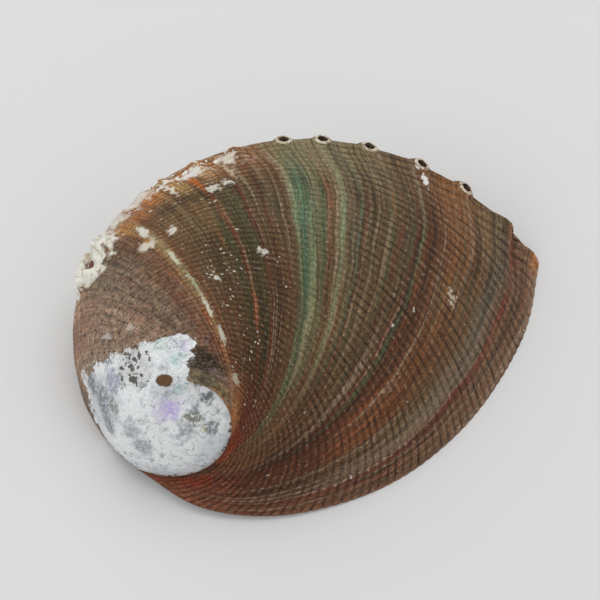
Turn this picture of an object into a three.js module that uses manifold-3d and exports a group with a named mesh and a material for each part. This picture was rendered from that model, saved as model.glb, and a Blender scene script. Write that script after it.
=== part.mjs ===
import * as THREE from "three";
import { mergeVertices } from "three/addons/utils/BufferGeometryUtils.js";
import Module from "manifold-3d";

// An abalone shell resting mouth down on its rim, apex at the near left. Millimetres, +Z up.

// Growth: each older margin is the last one turned back about the coil axis and shrunk to the apex.
const APEX = new THREE.Vector3(-35.7, -66.8, 36.6);
const AXIS_LEAN_DEG = 50.1;
const AXIS_HEADING_DEG = -100.8;
const SHRINK_PER_RADIAN = 0.34;
const WHORL_RADIANS = 3.9;
const STEPS_PER_WHORL = 50;

// The growing margin, from the suture round the front to the tip.
const MARGIN = [
  [-49.3, -64.9, 4.7],
  [-30.5, -77.2, 3.1],
  [-8.9, -79.8, 1.7],
  [14.2, -74.2, 0.6],
  [33.4, -63.8, 0],
  [50.5, -47.6, 0],
  [63.6, -28.3, 0],
  [72.3, -9.3, 0],
  [77.2, 14.3, 0],
];
const MARGIN_ROWS = 14;

// The inner lip, from the tip round the back and the left to the suture.
const INNER_LIP = [
  [77.2, 14.3, 0],
  [42, 37, 0],
  [-1, 40.5, 0],
  [-40.5, 28.5, 0],
  [-63.5, 5.5, 0],
  [-69.6, -16.5, 0],
  [-67.6, -36, 0],
  [-58.5, -53.5, 0],
  [-49.3, -64.9, 4.7],
];
const WALL_ROWS = 5;
const SHOULDER_ROUND = 0.08;
const WALL_UPRIGHT = 0.35;

const THICKNESS = 3;
const MARGIN_EDGE = 1.3;
const SUTURE_EDGE = 0.6;
const MARGIN_TAPER_RADIANS = 0.35;
const LEDGE_WIDTH = 7;

// The second whorl, worn to a smooth cap, and the pearl that smooths the inside.
const WORN_ROUNDNESS = 1.5;
const WORN_BLEND = [2.7, 3.7];
const WORN_FLAT = [5, 6.6];
const WORN_FLATNESS = 0.8;
const SPIRE_HOLLOW = 0.6;
const SPIRE_THICKNESS = 1.1;
const PEARL_SMOOTHING = 0.5;
const PEARL_PASSES = 8;

// Respiratory pores, youngest first, as turns back from the margin in radians.
const PORES = [0.16, 0.34, 0.51, 0.71, 0.885, 1.035];
const PORE_ACROSS = 0.993;
const PORE_RADIUS = 1.75;
const COLLAR_FOOT = 3.3;
const COLLAR_TOP = 2.5;
const COLLAR_HEIGHT = 1;
const COLLAR_DEPTH = 1.4;
const PORE_REACH = 14;
const PORE_SIDES = 20;
const MERGE_TOLERANCE = 1e-3;

const vector = ([x, y, z]) => new THREE.Vector3(x, y, z);
const margin = new THREE.CatmullRomCurve3(MARGIN.map(vector));
const innerLip = new THREE.CatmullRomCurve3(INNER_LIP.map(vector));

// A point of the rim, never below the floor.
function rimPoint(curve, share) {
  const point = curve.getPoint(share);
  return point.setZ(Math.max(point.z, 0));
}

const lean = THREE.MathUtils.degToRad(AXIS_LEAN_DEG);
const heading = THREE.MathUtils.degToRad(AXIS_HEADING_DEG);
const axis = new THREE.Vector3(
  Math.sin(lean) * Math.cos(heading),
  Math.sin(lean) * Math.sin(heading),
  Math.cos(lean),
);

// A point of the margin as it was some radians of growth ago.
function grown(point, back) {
  const size = Math.exp(-SHRINK_PER_RADIAN * back);
  return point.clone().sub(APEX).applyAxisAngle(axis, back).multiplyScalar(size).add(APEX);
}

const WORN_POLE = grown(rimPoint(margin, 0), WHORL_RADIANS);

// Where a line ends: on the free inner lip, or on the suture of the next whorl.
function footOf(back) {
  return back < WHORL_RADIANS
    ? rimPoint(innerLip, back / WHORL_RADIANS)
    : grown(rimPoint(margin, 0), back - WHORL_RADIANS);
}

// Lines of the second whorl start at the worn pole, where the suture ends.
function dome(back, across) {
  const point = grown(rimPoint(margin, across), back);
  if (back <= WHORL_RADIANS) return point;
  const toPole = WORN_POLE.clone().sub(grown(rimPoint(margin, 0), back));
  return point.addScaledVector(toPole, (1 - across) ** WORN_ROUNDNESS);
}

// A line of the worn spire, run straight to its foot without a shoulder.
function cap(back, share) {
  const foot = footOf(back);
  const toFoot = foot.clone().sub(dome(back, 1));
  const line = dome(back, share).addScaledVector(toFoot, share ** 2);
  const flat = WORN_POLE.clone().lerp(foot, share);
  return line.lerp(flat, WORN_FLATNESS * THREE.MathUtils.smoothstep(back, ...WORN_FLAT));
}

// The side wall outside the pore row, down to the inner lip or to the suture of the next whorl.
function wall(back, down) {
  const top = dome(back, 1);
  const foot = footOf(back);
  const span = top.distanceTo(foot);
  const leaving = top.clone().sub(dome(back, 0.98)).setLength(SHOULDER_ROUND * span);
  const drop = WALL_UPRIGHT * Math.max(top.z - foot.z, 0);
  return new THREE.CubicBezierCurve3(
    top,
    top.clone().add(leaving),
    foot.clone().add(new THREE.Vector3(0, 0, drop)),
    foot,
  ).getPoint(down);
}

// The outside as one coiled sheet: rows run over the dome and down the wall, columns run back in growth.
const rows = MARGIN_ROWS + WALL_ROWS;
const columns = 2 * STEPS_PER_WHORL;
const points = [];
const details = [];
const grid = [];
function outside(back, j) {
  const point =
    j > MARGIN_ROWS ? wall(back, (j - MARGIN_ROWS) / WALL_ROWS) : dome(back, j / MARGIN_ROWS);
  return point.lerp(cap(back, j / rows), THREE.MathUtils.smoothstep(back, ...WORN_BLEND));
}
function addPoint(point, back, j) {
  details.push({ back, across: j / MARGIN_ROWS, down: Math.max((j - MARGIN_ROWS) / WALL_ROWS, 0) });
  return points.push(point) - 1;
}
for (let i = 0; i <= columns; i++) {
  const back = (WHORL_RADIANS * i) / STEPS_PER_WHORL;
  const column = [];
  for (let j = 0; j <= rows; j++) {
    if (i === 0 && j > MARGIN_ROWS) column.push(column[MARGIN_ROWS]);
    else if (i > STEPS_PER_WHORL && (j === 0 || i === columns)) column.push(grid[STEPS_PER_WHORL][0]);
    else if (i >= STEPS_PER_WHORL && j === rows) column.push(grid[i - STEPS_PER_WHORL][0]);
    else column.push(addPoint(outside(back, j), back, j));
  }
  grid.push(column);
}

const faces = [];
function addFace(a, b, c) {
  if (a !== b && b !== c && a !== c) faces.push([a, b, c]);
}
for (let i = 0; i < columns; i++) {
  for (let j = 0; j < rows; j++) {
    addFace(grid[i][j], grid[i][j + 1], grid[i + 1][j]);
    addFace(grid[i][j + 1], grid[i + 1][j + 1], grid[i + 1][j]);
  }
}

// Outward normals of the sheet.
const sheet = new THREE.BufferGeometry().setFromPoints(points);
sheet.setIndex(faces.flat());
sheet.computeVertexNormals();
const normals = points.map((_, k) => new THREE.Vector3().fromBufferAttribute(sheet.attributes.normal, k));

// Wall thickness: thin at the growing margin, along the suture and in the spire.
function thickness(back, across) {
  const young = THREE.MathUtils.smoothstep(back, 0, MARGIN_TAPER_RADIANS);
  const old = THREE.MathUtils.smoothstep(back, 2.4, 3.4);
  const clear = THREE.MathUtils.smoothstep(across, 0, 0.35) * (1 - old);
  const edge = THREE.MathUtils.lerp(SUTURE_EDGE, MARGIN_EDGE, THREE.MathUtils.smoothstep(across, 0, 0.2));
  const thin = THREE.MathUtils.lerp(edge, SPIRE_THICKNESS, THREE.MathUtils.smoothstep(back, 0, 1));
  return THREE.MathUtils.lerp(thin, THICKNESS, clear * young);
}

// Width of the flat inner lip: broad at the back, narrow at the tip and at the suture.
function ledgeWidth(back) {
  const broad = THREE.MathUtils.smoothstep(back, 0, 0.8) - THREE.MathUtils.smoothstep(back, 2.2, 3.4);
  const narrow = THREE.MathUtils.lerp(MARGIN_EDGE, SUTURE_EDGE, THREE.MathUtils.smoothstep(back, 2.6, 3.4));
  return narrow + (LEDGE_WIDTH - narrow) * broad;
}

// The inside face: set in along the normal, turning level toward the rim so that the rim is flat.
const inside = points.map((point, k) => {
  const { back, across, down } = details[k];
  const level = normals[k].clone().setZ(0).normalize();
  if (back === 0) return point.clone().addScaledVector(level, -thickness(0, across));
  const freeWall = back < WHORL_RADIANS ? down : 0;
  const depth = THREE.MathUtils.lerp(thickness(back, across), ledgeWidth(back), freeWall ** 2);
  const inward = normals[k].clone().lerp(level, freeWall).normalize();
  return point.clone().addScaledVector(inward, -depth);
});

// Inside the worn cap the pearl bulges less than the outside does.
const pole = grid[STEPS_PER_WHORL][0];
for (let i = STEPS_PER_WHORL + 1; i < columns; i++) {
  const foot = grid[i][rows];
  const share = THREE.MathUtils.smoothstep(details[grid[i][1]].back, WHORL_RADIANS, WHORL_RADIANS + 0.8);
  for (let j = 1; j < rows; j++) {
    const k = grid[i][j];
    const bulge = points[k].clone().sub(points[pole].clone().lerp(points[foot], j / rows));
    const hollow = inside[pole].clone().lerp(inside[foot], j / rows).addScaledVector(bulge, SPIRE_HOLLOW);
    inside[k].lerp(hollow, share);
  }
}

// Each point drawn toward the middle of its neighbours, by its own share, again and again.
const neighbours = points.map(() => new Set());
for (const [a, b, c] of faces) {
  for (const [from, to] of [[a, b], [b, c], [c, a]]) {
    neighbours[from].add(to);
    neighbours[to].add(from);
  }
}
function relax(list, share, passes) {
  for (let pass = 0; pass < passes; pass++) {
    const middles = list.map((_, k) => {
      const middle = new THREE.Vector3();
      for (const n of neighbours[k]) middle.addScaledVector(list[n], 1 / neighbours[k].size);
      return middle;
    });
    list.forEach((point, k) => point.lerp(middles[k], share[k]));
  }
}

const edges = new Set(faces.flatMap(([a, b, c]) => [`${a} ${b}`, `${b} ${c}`, `${c} ${a}`]));
const openEdge = new Set();
for (const edge of edges) {
  const [from, to] = edge.split(" ");
  if (!edges.has(`${to} ${from}`)) openEdge.add(+from).add(+to);
}
const pearl = details.map(({ back, across }, k) => {
  if (openEdge.has(k)) return 0;
  const clearOfSuture = THREE.MathUtils.smoothstep(across, 0.1, 0.4);
  return PEARL_SMOOTHING * clearOfSuture * (1 - THREE.MathUtils.smoothstep(back, 2.2, 2.9));
});
relax(inside, pearl, PEARL_PASSES);

// Both faces, joined round the open edge.
const skin = faces.map((face) => [...face]);
const count = points.length;
for (const [a, b, c] of faces) {
  skin.push([c + count, b + count, a + count]);
  for (const [from, to] of [[a, b], [b, c], [c, a]]) {
    if (edges.has(`${to} ${from}`)) continue;
    skin.push([to, from, from + count], [to, from + count, to + count]);
  }
}

const wasm = await Module();
wasm.setup();
const body = new wasm.Manifold(
  new wasm.Mesh({
    numProp: 3,
    vertProperties: new Float32Array([...points, ...inside].flatMap((p) => p.toArray())),
    triVerts: new Uint32Array(skin.flat()),
  }),
);

// A pore: a raised collar on the shoulder and a hole straight through it.
function poreFrame(back) {
  const at = dome(back, PORE_ACROSS);
  const alongGrowth = dome(back - 0.02, PORE_ACROSS).sub(dome(back + 0.02, PORE_ACROSS));
  const overShoulder = wall(back, 0.12).sub(dome(back, 0.94));
  const out = alongGrowth.clone().cross(overShoulder).normalize();
  const turn = new THREE.Quaternion().setFromUnitVectors(new THREE.Vector3(0, 0, 1), out);
  return new THREE.Matrix4().compose(at, turn, new THREE.Vector3(1, 1, 1));
}

// A closed geometry stood in a pore's frame, as a solid to join or cut with.
function solidIn(frame, geometry) {
  geometry.applyMatrix4(frame);
  geometry.deleteAttribute("normal");
  geometry.deleteAttribute("uv");
  const { attributes, index } = mergeVertices(geometry, MERGE_TOLERANCE);
  return new wasm.Manifold(
    new wasm.Mesh({
      numProp: 3,
      vertProperties: attributes.position.array,
      triVerts: new Uint32Array(index.array),
    }),
  );
}

function collar(frame) {
  const depth = COLLAR_HEIGHT + COLLAR_DEPTH;
  const cone = new THREE.CylinderGeometry(COLLAR_TOP, COLLAR_FOOT, depth, PORE_SIDES);
  cone.rotateX(Math.PI / 2).translate(0, 0, depth / 2 - COLLAR_DEPTH);
  return solidIn(frame, cone);
}

function hole(frame) {
  const rod = new THREE.CylinderGeometry(PORE_RADIUS, PORE_RADIUS, PORE_REACH, PORE_SIDES);
  return solidIn(frame, rod.rotateX(Math.PI / 2));
}

const frames = PORES.map(poreFrame);
const solid = frames.reduce((sum, frame) => sum.add(collar(frame)), body);
const pierced = frames.reduce((sum, frame) => sum.subtract(hole(frame)), solid);

// Stand the rim on the floor with the middle of the plan at the origin.
const mesh = pierced.getMesh();
const geometry = new THREE.BufferGeometry();
geometry.setAttribute("position", new THREE.BufferAttribute(mesh.vertProperties, 3));
geometry.setIndex(new THREE.BufferAttribute(mesh.triVerts, 1));
geometry.computeBoundingBox();
const { min, max } = geometry.boundingBox;
geometry.translate(-(min.x + max.x) / 2, -(min.y + max.y) / 2, -min.z);

const material = new THREE.MeshStandardMaterial({ color: 0x6b4f3a, roughness: 0.65, metalness: 0 });
const shell = new THREE.Mesh(geometry, material);
shell.name = "shell";
const abalone = new THREE.Group();
abalone.add(shell);
export default abalone;
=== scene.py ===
"""An empty abalone shell lying on its rim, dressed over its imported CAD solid."""

import logging
import math
from collections.abc import Iterable, Mapping, Sequence
from dataclasses import dataclass, field
from enum import Enum, IntEnum
from functools import cached_property

import bmesh
import bpy
from mathutils import Matrix, Vector, noise

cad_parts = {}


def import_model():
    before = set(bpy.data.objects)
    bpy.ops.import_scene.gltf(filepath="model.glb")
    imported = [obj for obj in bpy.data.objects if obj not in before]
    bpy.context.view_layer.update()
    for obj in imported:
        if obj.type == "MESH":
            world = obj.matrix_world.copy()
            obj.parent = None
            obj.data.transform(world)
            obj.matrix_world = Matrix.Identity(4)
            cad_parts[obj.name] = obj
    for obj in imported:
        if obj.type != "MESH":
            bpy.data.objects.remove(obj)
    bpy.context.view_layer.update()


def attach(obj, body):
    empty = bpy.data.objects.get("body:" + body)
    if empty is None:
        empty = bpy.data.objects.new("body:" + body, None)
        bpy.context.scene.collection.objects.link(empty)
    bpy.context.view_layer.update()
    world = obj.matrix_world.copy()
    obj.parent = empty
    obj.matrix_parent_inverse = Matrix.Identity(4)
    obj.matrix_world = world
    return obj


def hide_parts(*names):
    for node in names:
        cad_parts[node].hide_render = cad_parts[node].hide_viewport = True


logging.basicConfig(level=logging.INFO, format="%(message)s")
log = logging.getLogger("abalone")

MM = 0.001
BODY = "root"
NODE = "shell"
GROWTH_MAP = "growth"
# Growth coordinates that differ by less than this are the same.
SAME = 1e-5

Pair = tuple[float, float]
Point = tuple[float, float, float]
Colour = tuple[float, float, float, float]
Socket = bpy.types.NodeSocket
Feed = Socket | float | tuple[float, ...]


def linear(hex_colour: str) -> Colour:
    """Turns an sRGB hex colour into linear RGBA.

    Args:
        hex_colour: A colour such as "#7d5a45".

    Returns:
        The linear red, green and blue with an alpha of 1.
    """
    shares = [int(hex_colour[i : i + 2], 16) / 255 for i in (1, 3, 5)]
    light = [s / 12.92 if s <= 0.04045 else ((s + 0.055) / 1.055) ** 2.4 for s in shares]
    return (light[0], light[1], light[2], 1.0)


def ease(value: float, low: float, high: float) -> float:
    """Gives 0 below low and 1 above high, with a smooth step between.

    Args:
        value: The number to place.
        low: Where the step starts.
        high: Where the step ends.

    Returns:
        A share from 0 to 1.
    """
    share = min(max((value - low) / (high - low), 0.0), 1.0)
    return share * share * (3 - 2 * share)


def between(table: tuple[Pair, ...], value: float) -> float:
    """Reads a table of (position, amount) pairs with straight lines between them.

    Args:
        table: Pairs in rising order of position.
        value: The position to read.

    Returns:
        The amount there.
    """
    for (left, low), (right, high) in zip(table, table[1:]):
        if value <= right:
            share = (value - left) / (right - left)
            return low + (high - low) * min(max(share, 0.0), 1.0)
    return table[-1][1]


class Part(IntEnum):
    """The stretches of the shell's surface, which are also its material slots."""

    OUTSIDE = 0
    INSIDE = 1
    PORE = 2


class Light(Enum):
    """The lamps of the studio: place and aim in metres, size in metres, power in watts."""

    OVERHEAD = ((0.10, 0.35, 1.10), (0.0, 0.0, 0.0), 1.10, 3.5)
    WINDOW = ((-0.75, -0.45, 0.70), (0.0, 0.0, 0.0), 0.80, 1.6)


@dataclass(frozen=True)
class Pore:
    """One breathing hole on its swelling of the crest, in millimetres.

    Attributes:
        back: Where it lies, in radians of growth.
        down: How far past the crest it opens, as a share of the wall.
        swell: Height of the swelling over the crest.
        notch: Depth of the dip on its younger side.
        size: Its width as a share of a full-grown pore's.
    """

    back: float
    down: float
    swell: float
    notch: float
    size: float = 1.0


PORES: tuple[Pore, ...] = (
    Pore(0.160, 0.15, 2.4, 1.9, 0.6),
    Pore(0.345, 0.07, 1.5, 0.9),
    Pore(0.515, 0.045, 1.0, 0.3),
    Pore(0.710, 0.03, 0.6, 0.1),
    Pore(0.885, 0.02, 0.5, 0.0),
    Pore(1.035, 0.02, 0.3, 0.0),
)


@dataclass(frozen=True)
class RimCurve:
    """A smooth rim through a few points, which never dips below the floor."""

    knots: tuple[Point, ...]

    def at(self, share: float) -> Vector:
        """Finds a point of the rim.

        Args:
            share: How far along the rim, from 0 to 1, even between knots.

        Returns:
            The point in millimetres.
        """
        last = len(self.knots) - 1
        place = min(max(share, 0.0), 1.0) * last
        first = min(int(place), last - 1)
        t = place - first
        p1, p2 = Vector(self.knots[first]), Vector(self.knots[first + 1])
        p0 = Vector(self.knots[first - 1]) if first > 0 else 2 * p1 - p2
        p3 = Vector(self.knots[first + 2]) if first + 2 <= last else 2 * p2 - p1
        d0, d1, d2 = (math.sqrt((b - a).length) for a, b in ((p0, p1), (p1, p2), (p2, p3)))
        enter = ((p1 - p0) / d0 - (p2 - p0) / (d0 + d1) + (p2 - p1) / d1) * d1
        leave = ((p2 - p1) / d1 - (p3 - p1) / (d1 + d2) + (p3 - p2) / d2) * d1
        square = 3 * (p2 - p1) - 2 * enter - leave
        cube = 2 * (p1 - p2) + enter + leave
        point = p1 + t * (enter + t * (square + t * cube))
        point.z = max(point.z, 0.0)
        return point


@dataclass(frozen=True)
class SpiralForm:
    """The spiral that the shell grew along, in millimetres.

    A place on the outside has two numbers. `back` is how many radians of growth came after it,
    from 0 at the margin. `row` runs from 0 at the suture over the dome to DOME_ROWS at the row of
    pores, and on down the steep wall to ROWS at its foot.
    """

    DOME_ROWS = 14.0
    ROWS = 19.0

    apex: Point = (-35.7, -66.8, 36.6)
    axis_lean: float = math.radians(50.1)
    axis_heading: float = math.radians(-100.8)
    shrink: float = 0.34
    whorl: float = 3.9
    margin: RimCurve = RimCurve(
        (
            (-49.3, -64.9, 4.7),
            (-30.5, -77.2, 3.1),
            (-8.9, -79.8, 1.7),
            (14.2, -74.2, 0.6),
            (33.4, -63.8, 0.0),
            (50.5, -47.6, 0.0),
            (63.6, -28.3, 0.0),
            (72.3, -9.3, 0.0),
            (77.2, 14.3, 0.0),
        )
    )
    inner_lip: RimCurve = RimCurve(
        (
            (77.2, 14.3, 0.0),
            (42.0, 37.0, 0.0),
            (-1.0, 40.5, 0.0),
            (-40.5, 28.5, 0.0),
            (-63.5, 5.5, 0.0),
            (-69.6, -16.5, 0.0),
            (-67.6, -36.0, 0.0),
            (-58.5, -53.5, 0.0),
            (-49.3, -64.9, 4.7),
        )
    )
    shoulder_round: float = 0.08
    wall_upright: float = 0.35
    worn_roundness: float = 1.5
    worn_blend: Pair = (2.7, 3.7)
    worn_flat: Pair = (5.0, 6.6)
    worn_flatness: float = 0.8
    thickness: float = 3.0
    margin_edge: float = 1.3
    suture_edge: float = 0.6
    spire_thickness: float = 1.1
    spire_hollow: float = 0.6
    spire_thinning: Pair = (2.4, 3.4)
    margin_taper: float = 0.35
    lip_thinning: Pair = (2.6, 3.4)
    ledge_width: float = 7.0
    ledge_start: Pair = (0.0, 0.8)
    ledge_end: Pair = (2.2, 3.4)
    crest_low: tuple[Pair, ...] = (
        (0.0, 0.0),
        (0.03, -0.5),
        (0.075, 0.8),
        (0.12, 1.2),
        (1.0, 1.2),
        (1.35, 1.8),
        (1.60, 1.2),
        (1.90, 0.5),
        (2.10, 0.0),
    )
    crest_dome: Pair = (0.87, 0.99)
    crest_wall: Pair = (0.02, 0.35)
    swell_tail: float = 0.10
    swell_face: float = 0.048
    notch_ahead: float = 0.045
    notch_half: float = 0.052
    centre: Point = (3.64794, -19.35184, 0.0)

    @cached_property
    def axis(self) -> Vector:
        """The coiling axis."""
        lean, heading = self.axis_lean, self.axis_heading
        return Vector(
            (math.sin(lean) * math.cos(heading), math.sin(lean) * math.sin(heading), math.cos(lean))
        )

    @cached_property
    def pole(self) -> Vector:
        """The middle of the worn spire."""
        return self.grown(self.margin.at(0), self.whorl)

    def grown(self, point: Vector, back: float) -> Vector:
        """Takes a point of the margin back to where it stood earlier in growth.

        Args:
            point: A point of the present margin.
            back: Radians of growth to go back.

        Returns:
            The same point of that earlier, smaller margin.
        """
        apex = Vector(self.apex)
        turn = Matrix.Rotation(back, 3, self.axis)
        return apex + math.exp(-self.shrink * back) * (turn @ (point - apex))

    def foot(self, back: float) -> Vector:
        """Finds the foot of the wall: the inner lip, or the suture once the whorl is covered.

        Args:
            back: Radians of growth before the margin.

        Returns:
            The point in millimetres.
        """
        if back < self.whorl:
            return self.inner_lip.at(back / self.whorl)
        return self.grown(self.margin.at(0), back - self.whorl)

    def dome(self, back: float, across: float) -> Vector:
        """Finds a point of the dome, between the suture and the row of pores.

        Args:
            back: Radians of growth before the margin.
            across: Share of the way from the suture to the pores.

        Returns:
            The point in millimetres.
        """
        point = self.grown(self.margin.at(across), back)
        if back > self.whorl:
            gap = self.pole - self.grown(self.margin.at(0), back)
            point += gap * (1 - across) ** self.worn_roundness
        return point

    def cap(self, back: float, share: float) -> Vector:
        """Finds a point of the worn spire, on the line from its middle to the suture.

        Args:
            back: Radians of growth before the margin.
            share: How far along that line, from 0 to 1.

        Returns:
            The point in millimetres.
        """
        foot = self.foot(back)
        point = self.dome(back, share) + (foot - self.dome(back, 1)) * share**2
        flat = self.worn_flatness * ease(back, *self.worn_flat)
        return point.lerp(self.pole.lerp(foot, share), flat)

    def wall(self, back: float, down: float) -> Vector:
        """Finds a point of the steep wall under the pores.

        Args:
            back: Radians of growth before the margin.
            down: Share of the way from the pores to the foot.

        Returns:
            The point in millimetres.
        """
        top, foot = self.dome(back, 1), self.foot(back)
        leaving = (top - self.dome(back, 0.98)).normalized()
        first = top + leaving * (self.shoulder_round * (foot - top).length)
        second = foot + Vector((0, 0, self.wall_upright * max(top.z - foot.z, 0)))
        up = 1 - down
        return (
            up**3 * top
            + 3 * up * up * down * first
            + 3 * up * down * down * second
            + down**3 * foot
        )

    def crest_out(self, back: float, down: float = 0.12, across: float = 0.94) -> Vector:
        """Finds the way out of the shell at the crest, square to it.

        Args:
            back: Radians of growth before the margin.
            down: How far down the wall the crest's slope is taken.
            across: How far up the dome the crest's slope is taken.

        Returns:
            The direction.
        """
        step, near_crest = 0.02, 0.993
        ahead = self.dome(back - step, near_crest) - self.dome(back + step, near_crest)
        slope = self.wall(back, down) - self.dome(back, across)
        out = ahead.cross(slope).normalized()
        return -out if out.z < 0 else out

    def crest_shift(self, back: float, row: float, highest: float = math.inf) -> Vector:
        """Finds how the crest departs from the smooth form: swollen at each pore, dipped before it.

        Args:
            back: Radians of growth before the margin.
            row: Row number, from 0 to ROWS.
            highest: The most that it may stand out, in millimetres.

        Returns:
            The shift in millimetres.
        """
        down = (row - self.DOME_ROWS) / (self.ROWS - self.DOME_ROWS)
        near = ease(row / self.DOME_ROWS, *self.crest_dome)
        if down > 0:
            near = 1 - ease(down, *self.crest_wall)
        if near <= 0 or back > self.crest_low[-1][0]:
            return Vector()
        shift = -between(self.crest_low, back)
        for pore in PORES:
            past = back - pore.back
            reach = self.swell_tail if past > 0 else self.swell_face
            shift += pore.swell * ease(1 - abs(past) / reach, 0, 1)
            shift -= pore.notch * ease(1 - abs(past + self.notch_ahead) / self.notch_half, 0, 1)
        return self.crest_out(back) * (near * min(shift, highest))

    def outside(self, back: float, row: float) -> Vector:
        """Finds a point of the smooth outside.

        Args:
            back: Radians of growth before the margin.
            row: Row number, from 0 to ROWS.

        Returns:
            The point in millimetres.
        """
        if row > self.DOME_ROWS:
            point = self.wall(back, (row - self.DOME_ROWS) / (self.ROWS - self.DOME_ROWS))
        else:
            point = self.dome(back, row / self.DOME_ROWS)
        worn = ease(back, *self.worn_blend)
        if worn > 0:
            point = point.lerp(self.cap(back, row / self.ROWS), worn)
        return point

    def depth(self, back: float, across: float) -> float:
        """Works out the thickness of the shell.

        Args:
            back: Radians of growth before the margin.
            across: Share of the way from the suture to the pores.

        Returns:
            The thickness in millimetres.
        """
        edge = self.suture_edge + (self.margin_edge - self.suture_edge) * ease(across, 0, 0.2)
        thin = edge + (self.spire_thickness - edge) * ease(back, 0, 1)
        full = ease(across, 0, 0.35) * (1 - ease(back, *self.spire_thinning))
        full *= ease(back, 0, self.margin_taper)
        return thin + (self.thickness - thin) * full

    def ledge(self, back: float) -> float:
        """Works out the width of the flat inner lip that the shell rests on.

        Args:
            back: Radians of growth before the margin.

        Returns:
            The width in millimetres.
        """
        thin = ease(back, *self.lip_thinning)
        narrow = self.margin_edge + (self.suture_edge - self.margin_edge) * thin
        wide = ease(back, *self.ledge_start) - ease(back, *self.ledge_end)
        return narrow + (self.ledge_width - narrow) * wide

    def inside(self, back: float, row: float, skin: Vector, normal: Vector) -> Vector:
        """Finds the point of the pearly inside that lies under a point of the outside.

        Args:
            back: Radians of growth before the margin.
            row: Row number, from 0 to ROWS.
            skin: The point of the outside.
            normal: The outside's normal there.

        Returns:
            The inside point in millimetres.
        """
        level = Vector((normal.x, normal.y, 0)).normalized()
        across = min(row / self.DOME_ROWS, 1.0)
        if back < SAME:
            return skin - level * self.depth(0, across)
        down = max(row - self.DOME_ROWS, 0) / (self.ROWS - self.DOME_ROWS)
        free = down if back < self.whorl else 0.0
        depth = self.depth(back, across)
        depth += (self.ledge(back) - depth) * free**2
        return skin - normal.lerp(level, free).normalized() * depth


@dataclass(frozen=True)
class GrowthRidge:
    """A raised or sunk line left by a pause in growth.

    Attributes:
        back: Where it lies, in radians of growth.
        half_width: Half its width, in radians of growth.
        height: Its height in millimetres; below 0 it is a groove.
    """

    back: float
    half_width: float
    height: float


@dataclass(frozen=True)
class SpiralRibs:
    """The fine ribs that run with the growth, wider apart toward the pores."""

    at_suture: float = 68.0
    thinning: float = -9.0
    sway: float = 0.25
    sway_back: float = 5.0
    sway_across: float = 9.0

    def turns(self, back: float, across: float) -> float:
        """How many ribs lie between the suture and a place."""
        sway = math.sin(self.sway_back * back + self.sway_across * across)
        return across * (self.at_suture + self.thinning * across) + self.sway * sway

    def wave(self, board: "Board", back: Feed, across: Feed) -> Socket:
        """Draws the same ribs in a material.

        Args:
            board: The material being made.
            back: The growth coordinate in radians.
            across: The share of the way from suture to pores.

        Returns:
            A number from -1 in the grooves to 1 on the ribs.
        """
        lean = board.add("Math", across, self.sway_across, operation="MULTIPLY")
        lean = board.add(
            "Math",
            board.add("Math", back, self.sway_back, lean, operation="MULTIPLY_ADD"),
            operation="SINE",
        )
        pitch = board.add("Math", across, self.thinning, self.at_suture, operation="MULTIPLY_ADD")
        turns = board.add(
            "Math", lean, self.sway, board.product(pitch, across), operation="MULTIPLY_ADD"
        )
        return board.add(
            "Math", board.add("Math", turns, 2 * math.pi, operation="MULTIPLY"), operation="COSINE"
        )


RIBS = SpiralRibs()


# Where the brown outer layer is worn through to pearl: for a share of the way from suture to
# pores, the radians of growth at which the pearl starts.
PEARL_EDGE: tuple[Pair, ...] = (
    (0.0, 3.27),
    (0.06, 3.17),
    (0.12, 2.84),
    (0.19, 2.53),
    (0.26, 2.30),
    (0.30, 2.25),
    (0.32, 2.45),
    (0.35, 2.71),
    (0.40, 2.82),
    (0.48, 2.90),
    (0.60, 2.98),
    (0.79, 3.02),
    (0.90, 2.95),
    (1.0, 3.05),
    (1.08, 3.22),
    (1.16, 3.12),
    (1.25, 3.30),
    (1.36, 3.38),
)


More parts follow.
